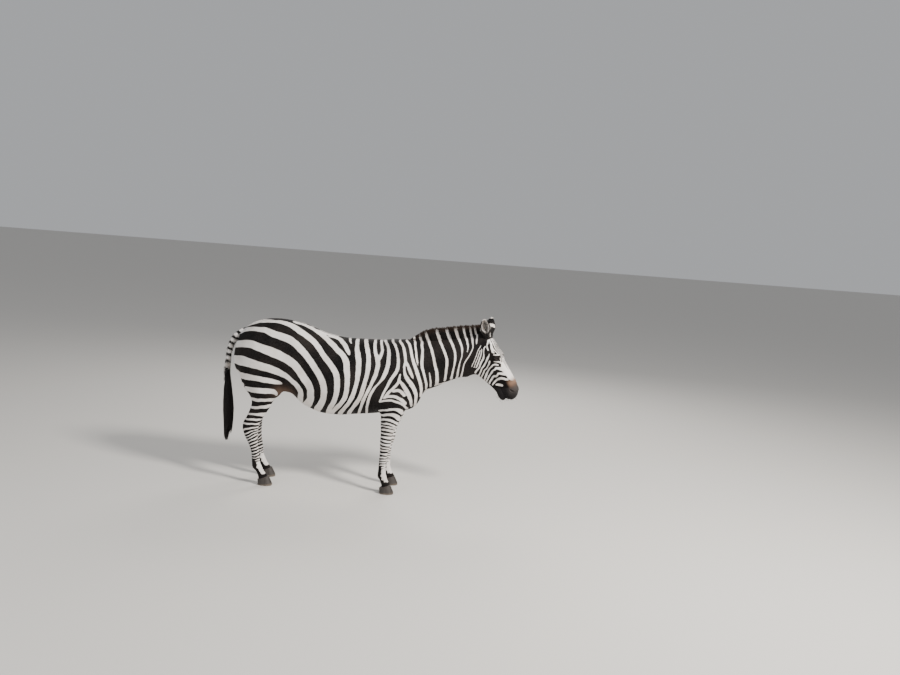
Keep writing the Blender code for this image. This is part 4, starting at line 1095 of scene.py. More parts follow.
def ramp_node(tree, value, low, high):
    """Smooth rise from 0 at low to 1 at high."""
    made = add_node(tree, "ShaderNodeMapRange", {
        "Value": value, "From Min": low, "From Max": high}, interpolation_type="SMOOTHSTEP")
    return made.outputs[0]


def noise_node(tree, scale, detail=3.0, stretch=(1, 1, 1)):
    """Socket with noise in the object's space; the stretch scales each axis."""
    place = add_node(tree, "ShaderNodeTexCoord").outputs["Object"]
    placed = add_node(tree, "ShaderNodeMapping", {"Vector": place, "Scale": stretch})
    made = add_node(tree, "ShaderNodeTexNoise", {
        "Vector": placed.outputs[0], "Scale": scale, "Detail": detail})
    return made.outputs["Fac"]


def attribute(tree, name):
    """Socket with the value that the mesh keeps under the name."""
    return add_node(tree, "ShaderNodeAttribute", attribute_name=name).outputs["Fac"]


def bump_node(tree, height, strength, distance):
    """Socket with normals bumped by the height, over the distance in metres."""
    made = add_node(tree, "ShaderNodeBump", {
        "Height": height, "Strength": strength, "Distance": distance})
    return made.outputs[0]


def new_material(name, roughness, specular=0.5, **others):
    """A material, its nodes and its shader, with uniform values set on the shader's sockets."""
    made = bpy.data.materials.new(name)
    made.use_nodes = True
    shader = made.node_tree.nodes["Principled BSDF"]
    shader.inputs["Roughness"].default_value = roughness
    shader.inputs["Specular IOR Level"].default_value = specular
    for key, value in others.items():
        shader.inputs[key.replace("_", " ")].default_value = value
    return made, made.node_tree, shader


DARK_COAT = (0.0045, 0.0038, 0.0038)
# Greyer black for patches that are partly dust and partly a painted sheen of light on the coat.
DUST_AND_SHEEN_COAT = (0.017, 0.0132, 0.0120)
WHITE_COAT = (0.86, 0.82, 0.79)
SHADED_WHITE = (0.74, 0.68, 0.63)
MUZZLE_SKIN = (0.014, 0.0125, 0.013)
# Painted light: grey where the front of the dark muzzle catches the light.
LIT_NOSE_GREY = (0.050, 0.043, 0.041)
NOSE_BROWN = (0.20, 0.120, 0.082)
COAT_SHEEN = {"Sheen_Weight": 0.03, "Sheen_Roughness": 0.5}


def coat_colour(tree):
    """Striped colour from the attributes: brown-black and creamy white, with worn edges. The black is
    greyed in random patches that stand partly for dust and partly for painted sheen.
    """
    rough_edge = math_node(tree, "MULTIPLY", noise_node(tree, 260, 2.0), 2.4)
    rough_edge = math_node(tree, "SUBTRACT", rough_edge, 1.2)
    edge = math_node(tree, "ADD", attribute(tree, "white"), rough_edge)
    share = ramp_node(tree, edge, -0.9, 0.9)
    patches = noise_node(tree, 7, 3.0)
    strands = math_node(tree, "MULTIPLY", noise_node(tree, 90, 3.0, (3.0, 0.6, 3.0)), 0.5)
    # Painted sheen and dust: the black is greyed in random patches.
    dust_and_sheen = ramp_node(tree, math_node(tree, "ADD", patches, strands), 0.55, 1.0)
    dark = mix_node(tree, dust_and_sheen, DARK_COAT, DUST_AND_SHEEN_COAT)
    shaded = ramp_node(tree, noise_node(tree, 11, 4.0), 0.35, 0.75)
    pale = mix_node(tree, shaded, WHITE_COAT, SHADED_WHITE)
    colour = mix_node(tree, share, dark, pale)
    # Painted light on the muzzle's front: the nose share turns the dark muzzle skin a lit grey.
    nose = mix_node(tree, attribute(tree, "nose"), MUZZLE_SKIN, LIT_NOSE_GREY)
    colour = mix_node(tree, attribute(tree, "muzzle"), colour, nose)
    # The brown attribute holds the real brown patch above the nostrils and painted shade in the flank
    # fold.
    browned = math_node(tree, "MULTIPLY", attribute(tree, "brown"),
                        ramp_node(tree, noise_node(tree, 45), -0.50, 0.45))
    return mix_node(tree, browned, colour, NOSE_BROWN)


def skin_material():
    """The striped colour, with the lie of the short hair and fine folds as bump."""
    made, tree, shader = new_material("striped_skin", 0.66, 0.05, **COAT_SHEEN)
    tree.links.new(coat_colour(tree), shader.inputs["Base Color"])
    body_hair = noise_node(tree, 330, 2.0, (1.0, 0.16, 0.7))
    leg_hair = noise_node(tree, 330, 2.0, (1.0, 1.0, 0.16))
    hair = add_node(tree, "ShaderNodeMix", {0: attribute(tree, "leg"), 2: body_hair, 3: leg_hair})
    folds = math_node(tree, "MULTIPLY", noise_node(tree, 38, 3.0), 0.8)
    height = math_node(tree, "ADD", hair.outputs[0], folds)
    tree.links.new(bump_node(tree, height, 0.45, 0.0016), shader.inputs["Normal"])
    return made


def coat_material():
    """The striped colour, for tufts and for the skin and hair of ears and tail dock."""
    made, tree, shader = new_material("striped_coat_hair", 0.62, 0.18, **COAT_SHEEN)
    tree.links.new(coat_colour(tree), shader.inputs["Base Color"])
    return made


# ---------------------------------------------------------------- meshes
def quick_mesh(name, vertices, triangles, uv=None):
    """A mesh of triangles straight from arrays, with one OFBake place for each vertex."""
    mesh = bpy.data.meshes.new(name)
    vertices = np.asarray(vertices, np.float32)
    triangles = np.asarray(triangles, np.int32)
    mesh.vertices.add(len(vertices))
    mesh.vertices.foreach_set("co", vertices.ravel())
    mesh.loops.add(triangles.size)
    mesh.loops.foreach_set("vertex_index", triangles.ravel())
    mesh.polygons.add(len(triangles))
    mesh.polygons.foreach_set("loop_start", np.arange(0, triangles.size, 3, dtype=np.int32))
    mesh.polygons.foreach_set("use_smooth", np.ones(len(triangles), bool))
    mesh.update(calc_edges=True)
    if uv is not None:
        layer = mesh.uv_layers.new(name="OFBake")
        layer.data.foreach_set("uv", np.asarray(uv, np.float32)[triangles.ravel()].ravel())
    return mesh


def closed_mesh(name, vertices, triangles, uv=None):
    """The same, with the faces of each closed piece turned outward."""
    mesh = quick_mesh(name, vertices, triangles, uv)
    work = bmesh.new()
    work.from_mesh(mesh)
    bmesh.ops.recalc_face_normals(work, faces=work.faces)
    work.to_mesh(mesh)
    work.free()
    return mesh


def tube_faces(rings, size):
    """Triangles of a closed tube of rings, capped at both ends."""
    faces = []
    for level in range(rings - 1):
        for i in range(size):
            a = level * size + i
            b = level * size + (i + 1) % size
            faces += [(a, b, a + size), (b, b + size, a + size)]
    last = (rings - 1) * size
    for i in range(1, size - 1):
        faces += [(0, i + 1, i), (last, last + i, last + i + 1)]
    return faces


def place_object(mesh, slot, material, *replaced):
    """Put a mesh made in the mid back's frame in the scene, on the frame's one body."""
    made = bpy.data.objects.new(mesh.name, mesh)
    bpy.context.scene.collection.objects.link(made)
    mesh.transform(Matrix.Translation((0, BACK_TO_MIDDLE, 0)))
    mesh.materials.clear()
    mesh.materials.append(material)
    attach(made, "root")
    if replaced:
        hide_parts(*replaced)


def read_mesh(mesh):
    """Vertices, normals and triangles of a mesh as arrays."""
    count = len(mesh.vertices)
    places = np.empty(count * 3, np.float32)
    mesh.vertices.foreach_get("co", places)
    normals = np.empty(count * 3, np.float32)
    mesh.vertex_normals.foreach_get("vector", normals)
    mesh.calc_loop_triangles()
    triangles = np.empty(len(mesh.loop_triangles) * 3, np.int32)
    mesh.loop_triangles.foreach_get("vertices", triangles)
    return (places.reshape(-1, 3).astype(float), normals.reshape(-1, 3).astype(float),
            triangles.reshape(-1, 3))


# ---------------------------------------------------------------- coat
def lie_of_coat(points):
    """Direction in which the hair lies: back along the trunk, down the legs and the face."""
    y, z = points[:, 1], points[:, 2]
    back = smooth_step(-0.20, 0.45, y)
    down = 0.30 + 0.60 * smooth_step(1.20, 0.80, z) * (0.35 + 0.65 * back)
    lie = np.stack([0 * y, 1.0 - 0.55 * back * smooth_step(1.2, 0.9, z), -down], axis=1)
    neck = smooth_step(-0.60, -0.80, y)[:, None]
    lie = lie * (1 - neck) + neck * np.array([0, 0.80, -0.62])
    low = smooth_step(0.80, 0.62, z)[:, None] * (np.abs(points[:, :1]) > 0.04)
    lie = lie * (1 - low) + low * np.array([0, 0.12, -1.0])
    along, left, out = head_local(points).T
    axes = head_frame()[1]
    on_head = (smooth_step(0.06, 0.16, along) * smooth_step(-0.52, -0.44, out))[:, None]
    cheek = (smooth_step(-0.14, -0.24, out) * smooth_step(0.55, 0.35, along))[:, None]
    face = axes[0] * (1 - 0.9 * cheek) - axes[2] * 0.55 * cheek
    return unit(lie * (1 - on_head) + face * on_head)


def regions(points, legs):
    """Number of the coat piece that each place belongs to, as COAT_PIECES lists them."""
    y, z = points[:, 1], points[:, 2]
    region = np.where(y > 0.245, 0, np.where(y > -0.345, 1, 2))
    region = np.where(0.961 * (y + 0.685) + 0.276 * (z - 1.010) < 0, 3, region)
    region = np.where(ahead_of_throat(y, z) > 0, 4, region)
    on_leg = (z < 0.55) | ((legs > 0.5) & (z < 0.74))
    return np.where(on_leg, np.where(y < 0, 5, 6), region)


PATCH = 0.003              # size of a tuft's patch on its piece's unwrap
TUFT_SINK = 0.0005         # a tuft's root lies this far under the skin
TUFT_RIDGE = 0.45          # its ridge stands at this share of its length
TUFT_LEAN = 0.45           # how far the shading turns from the skin's over a tuft

# name, number of tufts, length, width and lift of a tuft in metres
COAT_PIECES = (
    ("coat_haunches", 41000, 0.0140, 0.0032, 0.0009), ("coat_barrel", 41000, 0.0140, 0.0032, 0.0009),
    ("coat_chest", 41000, 0.0140, 0.0031, 0.0009), ("coat_neck", 41000, 0.0120, 0.0028, 0.0008),
    ("coat_head", 49500, 0.0048, 0.0013, 0.0003), ("coat_fore_legs", 38000, 0.0092, 0.0022, 0.0007),
    ("coat_hind_legs", 38000, 0.0092, 0.0022, 0.0007),
)


# Where each of the body's pieces begins along Y, and its length.
TRUNK_SPANS = {"coat_haunches": (0.22, 0.58), "coat_barrel": (-0.37, 0.62),
               "coat_chest": (-0.80, 0.62), "coat_neck": (-1.30, 0.62)}


def unwrap(points, name):
    """Place of each root on an unwrap of the skin round its own middle line, 0 to 1."""
    x, y, z = points.T
    if name == "coat_head":
        along, left, out = head_local(points).T
        column = 0.5 + np.arctan2(left, out + 0.23) / 6.4
        row = along / 1.1 + 0.05
    elif "legs" in name:
        kind = "fore" if "fore" in name else "hind"
        rows = np.array(leg_rows(kind, -1))
        middle = -smooth_curve(z, rows[:, 0], rows[:, 2])
        column = np.where(x > 0, 0.75, 0.25) + np.arctan2(np.abs(x) - TRACKS[kind], y - middle) / 13.2
        row = z / 0.76
    else:
        level = smooth_curve(y, (-1.3, -1.0, -0.6, 0.8), (1.20, 1.12, 0.93, 1.00))
        column = 0.5 + np.arctan2(x, z - level) / 6.4
        low, span = TRUNK_SPANS[name]
        row = (y - low) / span
    return np.stack([column, 0.03 + 0.94 * np.clip(row, 0, 1)], axis=1)


def bare_places(points):
    """Where no tuft grows: between the lids, in nostrils and mouth, and under the hooves."""
    bare = points[:, 2] < 0.040
    for side in (-1, 1):
        right, up, depth = eye_view(points, side)
        bare |= (np.abs(depth) < 0.035) & (eye_opening(right, up) > -0.0030)
    along, left, out = head_local(points).T
    bare |= (nostril_shape(along, out) > -0.25) & (np.abs(left) > 0.03) & (along > 0.8)
    bare |= (np.abs(out - mouth_line(along)) < 0.012) & (along > 0.75) & (along < 1)
    for name, x, y, kind in foot_places():
        forward = y - points[:, 1]
        near = np.hypot(points[:, 0] - x, forward) < 0.09
        bare |= near & (points[:, 2] < coronet_height(forward) + 0.001)
    return bare


def tuft_sizes(points, name, length, width, draw):
    """Length and width for each tuft: shorter on the face, round the eyes and on the feet."""
    size = draw.uniform(0.75, 1.25, len(points))
    if name == "coat_head":
        along, left, out = head_local(points).T
        size *= 1.15 - 0.50 * smooth_step(0.45, 0.80, along)
        size *= 1 - 0.45 * bump_at(np.hypot(along - EYE_PLACE[0], out - EYE_PLACE[2]), 0, 0.07)
        size *= 1 + 0.5 * smooth_step(-0.30, -0.44, out)
    if "legs" in name:
        size *= 0.65 + 0.55 * smooth_step(0.15, 0.60, points[:, 2])
    return length * size, width * size ** 0.6


def tuft_marks(roots, ends, plane):
    """Markings for the four corners of each tuft, read at its root and near its tip."""
    at_root = markings(roots, plane)
    at_tip = markings(ends, plane)
    held = {}
    for key, value in at_root.items():
        held[key] = np.stack([value, value, (value + at_tip[key]) / 2, at_tip[key]], axis=1).ravel()
    return held


def scatter_roots(own, skin, count, draw):
    """Places and normals of roots spread evenly over triangles, less those on bare skin."""
    places, normals, triangles, values = skin
    corners = places[own]
    sides = np.cross(corners[:, 1] - corners[:, 0], corners[:, 2] - corners[:, 0])
    area = np.linalg.norm(sides, axis=1)
    picked = own[draw.choice(len(own), count, p=area / area.sum())]
    a, b = draw.random((2, count))
    flip = a + b > 1
    a, b = np.where(flip, 1 - a, a), np.where(flip, 1 - b, b)
    weights = np.stack([1 - a - b, a, b], axis=1)
    roots = (places[picked] * weights[:, :, None]).sum(axis=1)
    normal = unit((normals[picked] * weights[:, :, None]).sum(axis=1))
    muzzle = (values["muzzle"][picked] * weights).sum(axis=1)
    keep = ~bare_places(roots) & (muzzle + draw.uniform(-0.4, 0.4, count) < 0.5)
    return roots[keep], normal[keep]


def coat_piece(number, skin, plane, draw):
    """One piece of coat: overlapping flat tufts of four faces that lie along the skin."""
    name, count, length, width, lift = COAT_PIECES[number]
    places, normals, triangles, values = skin
    middles = places[triangles].mean(axis=1)
    legs = values["leg"][triangles].mean(axis=1)
    own = triangles[regions(middles, legs) == number]
    roots, normal = scatter_roots(own, skin, count, draw)
    count = len(roots)
    flow = lie_of_coat(roots)
    swirl = 0.20 * wobble(roots, 0.16, 31) + draw.normal(0, 0.10, count)
    flow = unit(flow - normal * (flow * normal).sum(axis=1)[:, None])
    flow = unit(flow + np.cross(normal, flow) * swirl[:, None])
    across = np.cross(normal, flow)
    long, wide = tuft_sizes(roots, name, length, width, draw)
    long, wide = long[:, None], wide[:, None]
    raised = lift * draw.uniform(0.3, 1.25, count)[:, None]
    sunk = roots - normal * TUFT_SINK
    ridge = roots + flow * long * TUFT_RIDGE + normal * (0.0002 + raised * 0.70)
    tip = roots + flow * long + normal * raised
    vertices = np.stack([sunk - across * wide / 2, sunk + across * wide / 2, ridge, tip], axis=1)
    pattern = np.array([[0, 2, 1], [0, 1, 3], [1, 2, 3], [0, 3, 2]])
    faces = (4 * np.arange(count)[:, None, None] + pattern[None]).reshape(-1, 3)
    patch = PATCH / 2 * np.array([[-1, -1], [1, -1], [0.3, 0], [0, 1]])
    uv = (unwrap(roots, name)[:, None] + patch[None]).reshape(-1, 2)
    mesh = quick_mesh(name, vertices.reshape(-1, 3), faces, uv)
    store(mesh, tuft_marks(roots, roots + flow * long * 0.75, plane))
    leaning = np.stack([-across, across, normal, flow], axis=1).reshape(-1, 3)
    shade = unit(np.repeat(normal, 4, axis=0) + TUFT_LEAN * leaning)
    mesh.normals_split_custom_set_from_vertices(shade.tolist())
    return mesh


# ---------------------------------------------------------------- blades of long hair
def blades(paths, widths, flatness=0.45):
    """Closed tapered blades along paths, (blade, level, place), widths (blade, level)."""
    count, levels = paths.shape[:2]
    run = unit(np.gradient(paths, axis=1))
    side = unit(np.cross(run, np.array([0.27, 0.91, 0.31])))
    out = np.cross(side, run)
    half = widths[:, :, None] / 2
    back = paths - side * half * 0.5
    thick = out * half * flatness * 1.6
    ring = np.stack([paths + side * half, back + thick, back - thick], axis=2)
    pattern = []
    for level in range(levels - 1):
        for i in range(3):
            a = 3 * level + i
            b = 3 * level + (i + 1) % 3
            pattern += [(a, a + 3, b), (b, a + 3, b + 3)]
    pattern += [(0, 1, 2), (3 * levels - 3, 3 * levels - 1, 3 * levels - 2)]
    faces = 3 * levels * np.arange(count)[:, None, None] + np.array(pattern)[None]
    return ring.reshape(-1, 3), faces.reshape(-1, 3)


def straight(roots, reaches, levels):
    """Paths (blade, level, place) from the roots to roots + reaches."""
    return roots[:, None] + levels[None, :, None] * reaches[:, None]


def hair_mesh(name, paths, widths, levels, u, v, marks=None, flatness=0.45):
    """Mesh of blades; each has an upright OFBake patch at (u, v) and one value of each mark."""
    vertices, faces = blades(paths, widths, flatness)
    columns = np.tile([0, 0.5, 1.0], len(levels))
    patch = PATCH * np.stack([columns, np.repeat(levels, 3)], axis=1)
    corner = 0.02 + 0.95 * np.stack([u, v], axis=1)
    mesh = closed_mesh(name, vertices, faces, (corner[:, None] + patch[None]).reshape(-1, 2))
    store(mesh, {key: np.repeat(value, 3 * len(levels)) for key, value in (marks or {}).items()})
    return mesh


def crest_line(y):
    """Middle across and height of the skin's crest at each place along the neck."""
    rows = np.array(neck_rows())
    middle = smooth_curve(y, rows[:, 0], rows[:, 1])
    height = smooth_curve(y, rows[:, 0], rows[:, 2] + rows[:, 4]) - COAT_DEPTH
    return middle, height


def mane_lean(y):
    """How far back the hair of the mane leans for each metre that it rises."""
    return smooth_curve(y, *MANE_LEANS)


def mane_mesh(plane, draw):
    """Upright hair of the mane in thousands of blades that gather in small tufts."""
    y = draw.uniform(MANE_FRONT - 0.015, MANE_REAR, MANE_BLADES)
    across = np.clip(draw.normal(0, 0.0075, MANE_BLADES), -MANE_HALF, MANE_HALF)
    middle, crest = crest_line(y)
    lean = mane_lean(y)
    tall = smooth_curve(-y - 0.08 * lean, -np.array(MANE_KNOTS), MANE_TOPS) - crest + 0.004
    tall = np.where(y < MANE_FRONT, tall * (1 - (MANE_FRONT - y) / 0.05), tall)
    clump = wobble(np.stack([0 * y, y, across], axis=1), 0.030, 41)
    tall = tall * (1 + 0.035 * clump + draw.uniform(-0.10, 0.025, MANE_BLADES))
    tall *= 1 - 0.22 * (across / MANE_HALF) ** 2
    aside = 0.03 * across / MANE_HALF + 0.03 * wobble(np.stack([y, y, 0 * y], axis=1), 0.10, 42)
    back = lean + 0.03 * clump + draw.normal(0, 0.02, MANE_BLADES)
    way = np.stack([aside + draw.normal(0, 0.05, MANE_BLADES), back, 0 * y + 1], axis=1)
    levels = np.array([0, 0.36, 0.72, 1.0])
    roots = np.stack([middle + across, y, crest], axis=1)
    sunk = roots - np.stack([0 * y, 0 * y, MANE_ROOT + 0.25 * np.abs(across)], axis=1)
    paths = straight(sunk, way * (tall + MANE_ROOT)[:, None], levels)
    taper = np.interp(levels, (0, 0.5, 0.8, 1.0), (1.0, 1.0, 0.75, 0.15))
    widths = draw.uniform(0.0022, 0.0039, MANE_BLADES)[:, None] * taper
    u = (y - MANE_FRONT + 0.015) / (MANE_REAR - MANE_FRONT + 0.015)
    mesh = hair_mesh("mane_hair", paths, widths, levels, u, across / (2 * MANE_HALF) + 0.5,
                     plain_marks(mane_white(roots, plane), leg=1))
    tip = levels[None] + draw.uniform(-0.06, 0.06, MANE_BLADES)[:, None]
    store(mesh, {"tip": np.repeat(tip.ravel(), 3)})
    return mesh


def mane_white(roots, plane):
    """The neck's bands read just below the crest, so that they run on into the mane."""
    flat = straightened(roots - np.array([0, 0, 0.006]))
    return read_plane(plane, flat[:, 1], flat[:, 2])


# Across, and share of the way up, round the solid middle of the mane.
MANE_SECTION = ((-0.016, 0.0), (-0.012, 0.40), (-0.006, 0.75), (0, 0.86), (0.006, 0.75),
                (0.012, 0.40), (0.016, 0.0))


def mane_core(plane):
    """Solid middle of the mane, inside the blades."""
    y = np.linspace(MANE_REAR - 0.004, MANE_FRONT + 0.004, 90)
    middle, crest = crest_line(y)
    top = smooth_curve(-y, -np.array(MANE_KNOTS), MANE_TOPS)
    rings = []
    for across, up in MANE_SECTION:
        rise = up * (top - crest + 0.012) - 0.012
        rings.append(np.stack([middle + across, y + mane_lean(y) * rise, crest + rise], axis=1))
    vertices = np.stack(rings, axis=1).reshape(-1, 3)
    mesh = closed_mesh("mane_core", vertices, tube_faces(len(y), len(MANE_SECTION)))
    roots = np.repeat(np.stack([middle, y, crest], axis=1), len(MANE_SECTION), axis=0)
    marks = plain_marks(mane_white(roots, plane))
    store(mesh, {**marks, "tip": np.tile([up for across, up in MANE_SECTION], len(y))})
    return mesh


# ---------------------------------------------------------------- tail
DOCK_PATH = ((0.700, 1.225, 0.022), (0.760, 1.190, 0.026), (0.800, 1.150, 0.027), (0.828, 1.090, 0.025),
             (0.843, 1.010, 0.023), (0.847, 0.920, 0.020), (0.844, 0.860, 0.017), (0.843, 0.800, 0.012))
TUFT_PATH = ((0.846, 0.960, 0.012), (0.844, 0.860, 0.021), (0.843, 0.790, 0.028), (0.838, 0.720, 0.034),
             (0.832, 0.640, 0.039), (0.827, 0.560, 0.041), (0.824, 0.480, 0.036), (0.824, 0.410, 0.031),
             (0.826, 0.350, 0.025), (0.828, 0.306, 0.018))


def dock_bands(points):
    """White bands across the dock, broken by a dark line down the middle of its back."""
    x, y, z = points.T
    bands = (np.cos(2 * math.pi * (z - 0.35 * (y - 0.70)) / 0.052) + 0.15) * 0.008
    bands = np.minimum(bands, np.maximum(np.abs(x) - 0.005, -0.01))
    return np.where(z < 0.90, np.minimum(bands, (z - 0.90) * 0.4), bands)


def path_columns(path, place):
    """Y, Z and half width at each place from 0 to 1 along a path of the tail."""
    table = np.array(path)
    knots = np.linspace(0, 1, len(table))
    return [smooth_curve(place.ravel(), knots, table[:, i]).reshape(place.shape) for i in range(3)]


def dock_mesh():
    """Fleshy part of the tail, smooth and banded."""
    y, z, half = path_columns(DOCK_PATH, np.linspace(0, 1, 60))
    centres = np.stack([0 * y, y, z], axis=1)
    out = np.cross(unit(np.gradient(centres, axis=0)), np.array([1.0, 0, 0]))
    turn = np.linspace(0, 2 * math.pi, 28, endpoint=False)[None, :, None]
    ring = 1.05 * np.cos(turn) * np.array([1, 0, 0]) + 0.85 * np.sin(turn) * out[:, None]
    vertices = (centres[:, None] + half[:, None, None] * ring).reshape(-1, 3)
    mesh = closed_mesh("tail_dock_skin", vertices, tube_faces(*ring.shape[:2]))
    store(mesh, plain_marks(dock_bands(vertices), leg=1))
    return mesh


def dock_coat(dock, draw):
    """Short hair on the dock, longer toward its tip."""
    places, normals, triangles = read_mesh(dock)
    middles = places[triangles].mean(axis=1)
    chosen = draw.choice(np.flatnonzero(middles[:, 2] > 0.83), DOCK_BLADES)
    roots = middles[chosen] + draw.normal(0, 0.0012, (DOCK_BLADES, 3))
    normal = unit(normals[triangles[chosen]].mean(axis=1))
    hang = np.array([0, 0.15, -1.0]) + draw.normal(0, 0.12, (DOCK_BLADES, 3))
    low = smooth_step(1.02, 0.86, roots[:, 2])
    long = 0.012 + 0.040 * low * draw.uniform(0.5, 1, DOCK_BLADES)
    levels = np.linspace(0, 1, 3)
    reaches = unit(hang + 0.12 * normal) * long[:, None] + normal * 0.002
    paths = straight(roots - normal * 0.001, reaches, levels)
    widths = 0.0025 * np.array([1, 0.8, 0.15]) * draw.uniform(0.7, 1.2, (DOCK_BLADES, 1))
    turn = np.arctan2(normal[:, 0], -normal[:, 1])
    return hair_mesh("tail_dock_coat", paths, widths, levels, 0.5 + turn / 6.4,
                     (roots[:, 2] - 0.80) / 0.48, plain_marks(dock_bands(roots), leg=1))


def tuft_locks(draw):
    """Long black hair at the end of the tail, hanging in locks of many strands."""
    lock = draw.integers(0, TUFT_LOCKS, TUFT_BLADES)
    lock_end = 0.74 + 0.26 * ((lock * 0.618) % 1)
    start = draw.uniform(0, 0.36, TUFT_BLADES)
    end = np.clip(lock_end + draw.normal(0, 0.035, TUFT_BLADES), start + 0.25, 1.0)
    turn = lock * 2.399 + draw.normal(0, 0.20, TUFT_BLADES)
    spread = np.sqrt(draw.uniform(0.12, 1, TUFT_BLADES)) * np.where(lock % 3 == 0, 0.55, 1.0)
    levels = np.linspace(0, 1, 8)
    place = start[:, None] + (end - start)[:, None] * levels[None]
    y, z, half = path_columns(TUFT_PATH, place)
    phase = lock[:, None]
    wave = 0.16 * np.sin(9 * place + phase * 1.7) + 0.07 * np.sin(21 * place + phase)
    angle = turn[:, None] + 0.9 * (place - start[:, None]) * np.sin(phase * 1.3) + wave
    reach = half * spread[:, None] * (0.55 + 0.45 * smooth_step(0, 0.25, levels)[None])
    x = reach * np.cos(angle) * 0.95 + 0.004 * np.sin(5 * place + phase * 2.9) * levels
    y = y + reach * np.sin(angle) + 0.006 * np.sin(phase * 5.1) * levels ** 2
    slim = np.interp(levels, (0, 0.1, 0.7, 1), (0.5, 1, 0.85, 0.1))
    widths = draw.uniform(0.0015, 0.0033, TUFT_BLADES)[:, None] * slim
    return hair_mesh("tail_tuft_hair", np.stack([x, y, z], axis=2), widths, levels,
                     (turn / (2 * math.pi)) % 1, start / 0.36, flatness=0.5)


# ---------------------------------------------------------------- ears
def ear_frame(side):
    """Base of an ear and its axes: along its length, across it and out of its opening."""
    along, left, out = head_frame()[1]
    outward = left * side
    length = unit(outward * 0.42 - along * 0.80 + out * 0.42)
    opening = outward * 0.95 + along * 0.25 + out * 0.30
    opening = unit(opening - length * (opening @ length))
    base = head_point(EAR_BASE[0], side * EAR_BASE[1], EAR_BASE[2])
    return base, length, np.cross(length, opening), opening


def ear_point(side, share, turn, inward):
    """Place on an ear's wall: share of its length, turn round it, depth inside its back."""
    base, length, across, opening = ear_frame(side)
    share = share[:, None]
    middle = base + length * EAR_LENGTH * share + opening * EAR_CURL * share ** 2
    reach = 0.97 * ear_width(share) - inward[:, None]
    return middle + reach * (np.sin(turn)[:, None] * across - np.cos(turn)[:, None] * opening)


def ear_width(share):
    """Radius of an ear's wall at the share of its length."""
    return EAR_HALF_WIDTH * smooth_curve(share, EAR_LEVELS, EAR_WIDTHS)


def ear_wrap(share):
    """How far the wall runs round to each side of the ear's back, in radians."""
    return np.radians(smooth_curve(share, EAR_LEVELS, EAR_WRAPS))


def ear_mesh(side):
    """Cupped leaf of skin with a rounded rim, dark edge and pale inside."""
    levels = np.linspace(-0.22, 1.0, 52)
    columns = np.linspace(-1, 1, 33)
    rings = []
    for share in levels:
        shares = np.full(len(columns), share)
        wrap = ear_wrap(share)
        wall = min(EAR_WALL, ear_width(share) * 0.6) * (1 - 0.45 * np.abs(columns) ** 6)
        rings.append(ear_point(side, shares, columns * wrap, 0 * columns))
        rings.append(ear_point(side, shares, columns[::-1] * wrap * 0.985, wall))
    size = 2 * len(columns)
    mesh = closed_mesh("ear_shell_" + SIDE_NAMES[side], np.concatenate(rings),
                       tube_faces(len(levels), size))
    column = np.tile(np.concatenate([columns, columns[::-1]]), len(levels))
    inside = np.tile(np.repeat([0, 1], len(columns)), len(levels))
    store(mesh, ear_marks(np.repeat(levels, size), column, inside))
    return mesh


def ear_marks(share, column, inside):
    """Back: dark with a pale band and a pale tip. Inside: pale with a dark rim."""
    back = np.maximum(0.008 - np.abs(share - 0.42) * 0.09, (share - 0.88) * 0.15)
    back = np.where(np.abs(column) > 0.88, np.minimum(back, (share - 0.90) * 0.15), back)
    within = np.minimum((0.86 - np.abs(column)) * 0.030, (0.93 - share) * 0.15)
    white = np.where(inside > 0.5, within, back)
    return plain_marks(white, brown=0.05 * inside * (1 - share))


INSIDE, RIM = 0, 1         # kinds of ear hair; the third kind, 2, grows on the ear's back
EAR_HAIR_SHARES = (0.42, 0.16, 0.42)
EAR_HAIR_LENGTHS = ((0.014, 0.031), (0.006, 0.012), (0.005, 0.009))
EAR_HAIR_WIDTHS = (0.0014, 0.0019, 0.0019)


def ear_hair(side, draw):
    """Soft hair that fills the ear's opening, fringes its rim and covers its back."""
    count = EAR_BLADES
    kind = draw.choice(3, count, p=EAR_HAIR_SHARES)
    share = np.where(kind == INSIDE, draw.uniform(0.04, 0.86, count),
                     draw.uniform(-0.16, 0.97, count))
    column = np.where(kind == RIM, np.sign(draw.normal(size=count)) * 0.97,
                      draw.uniform(-0.9, 0.9, count))
    turn = column * ear_wrap(share)
    base, length, across, opening = ear_frame(side)
    wall = np.minimum(EAR_WALL, ear_width(share) * 0.6) - 0.0006
    roots = ear_point(side, share, turn, np.where(kind == INSIDE, wall, 0.0004))
    inward = np.cos(turn)[:, None] * opening - np.sin(turn)[:, None] * across
    ways = np.stack([inward * 0.50 + length * 0.7 + opening * 0.55,
                     inward * 0.35 + length * 0.75 + opening * 0.1, length - inward * 0.10])
    way = unit(ways[kind, np.arange(count)] + draw.normal(0, 0.16, (count, 3)))
    long = np.choose(kind, [draw.uniform(low, high, count) for low, high in EAR_HAIR_LENGTHS])
    long = (long * np.clip(1.25 - share * 0.7, 0.4, 1.25))[:, None]
    levels = np.array([0, 0.55, 1])
    paths = straight(roots, way * long, levels)
    paths += straight(0 * roots, length * long * 0.15, levels ** 2)
    widths = np.array(EAR_HAIR_WIDTHS)[kind][:, None] * np.array([1, 0.75, 0.1])
    inside = kind == INSIDE
    return hair_mesh("ear_hair_" + SIDE_NAMES[side], paths, widths, levels,
                     0.25 + 0.24 * column + 0.5 * inside, share,
                     ear_marks(share, column, inside.astype(float)))


